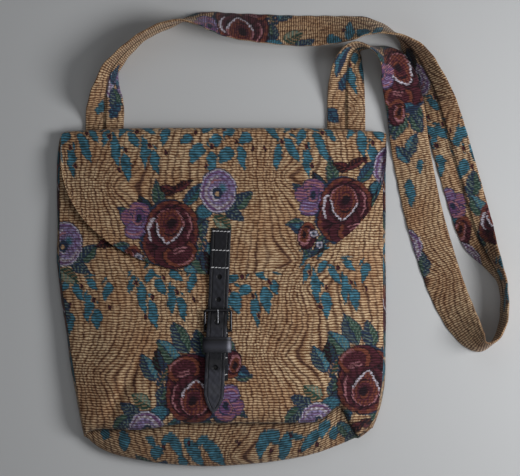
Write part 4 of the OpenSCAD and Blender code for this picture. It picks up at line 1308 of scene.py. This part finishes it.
class HAVERSACK_OT_stage(Operator):
    """Table, camera straight above and a soft light from the right"""

    bl_idname = "haversack.stage"
    bl_label = "Stage"

    def execute(self, context):
        stage, scene = context.scene.haversack_stage, context.scene
        # half the table's side, in metres
        half = 3.0
        corners = [(-half, -half, 0), (half, -half, 0), (half, half, 0), (-half, half, 0)]
        floor = bpy.data.meshes.new("Table")
        floor.from_pydata(corners, [], [(0, 1, 2, 3)])
        floor.materials.append(material("Table"))
        table = bpy.data.objects.new("Table", floor)
        scene.collection.objects.link(table)
        camera = bpy.data.objects.new("Camera", bpy.data.cameras.new("Camera"))
        camera.location = (stage.camera_x, stage.camera_y, stage.camera_up)
        camera.data.sensor_fit = "HORIZONTAL"
        camera.data.angle = 2 * math.atan(stage.view_w / 2 / stage.camera_up)
        scene.collection.objects.link(camera)
        scene.camera = camera
        # place, turn about x and y in degrees, size and power
        for name, place, turn, size, power in (("Key", (0.78, 0.02, 0.66), (0, 48), 0.5, stage.key),
                                               ("Low side", (0.05, -0.78, 1.1), (33, 0), 0.9, stage.side),
                                               ("High side", (0.05, 0.95, 1.1), (-39, 0), 0.9, stage.side)):
            light = bpy.data.lights.new(name, "AREA")
            light.shape, light.size, light.energy = "DISK", size, power
            lamp = bpy.data.objects.new(name, light)
            lamp.location = place
            lamp.rotation_euler = (math.radians(turn[0]), math.radians(turn[1]), 0.0)
            scene.collection.objects.link(lamp)
        world = bpy.data.worlds.new("Room")
        world.use_nodes = True
        back = world.node_tree.nodes["Background"]
        back.inputs["Color"].default_value = (0.95, 0.97, 1.0, 1.0)
        back.inputs["Strength"].default_value = stage.fill
        scene.world = world
        scene.view_settings.view_transform = "Standard"
        return {"FINISHED"}


class HAVERSACK_PT_panel(Panel):
    """The haversack's settings and its steps"""

    bl_idname = "HAVERSACK_PT_panel"
    bl_label = "Tapestry haversack"
    bl_space_type = "VIEW_3D"
    bl_region_type = "UI"
    bl_category = "Haversack"

    def draw(self, context):
        for group in GROUPS:
            box = self.layout.box()
            for name in GROUPS[group].__annotations__:
                box.prop(getattr(context.scene, group), name)
        for step in STEPS:
            self.layout.operator(step.bl_idname)


GROUPS = {"haversack_shape": HaversackShape, "haversack_closure": HaversackClosure,
          "haversack_threads": HaversackThreads, "haversack_stage": HaversackStage}
STEPS = (HAVERSACK_OT_back, HAVERSACK_OT_gusset, HAVERSACK_OT_front, HAVERSACK_OT_flap, HAVERSACK_OT_strap,
         HAVERSACK_OT_leather, HAVERSACK_OT_buckle, HAVERSACK_OT_stitches, HAVERSACK_OT_linings,
         HAVERSACK_OT_stage)


def register():
    for kind in (*GROUPS.values(), *STEPS, HAVERSACK_PT_panel):
        bpy.utils.register_class(kind)
    for name, kind in GROUPS.items():
        setattr(bpy.types.Scene, name, PointerProperty(type=kind))


def unregister():
    for name in GROUPS:
        delattr(bpy.types.Scene, name)
    for kind in (HAVERSACK_PT_panel, *reversed(STEPS), *reversed(list(GROUPS.values()))):
        bpy.utils.unregister_class(kind)


def main():
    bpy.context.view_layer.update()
    register()
    for step in STEPS:
        group, name = step.bl_idname.split(".")
        getattr(getattr(bpy.ops, group), name)()
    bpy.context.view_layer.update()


if __name__ == "__main__":
    main()
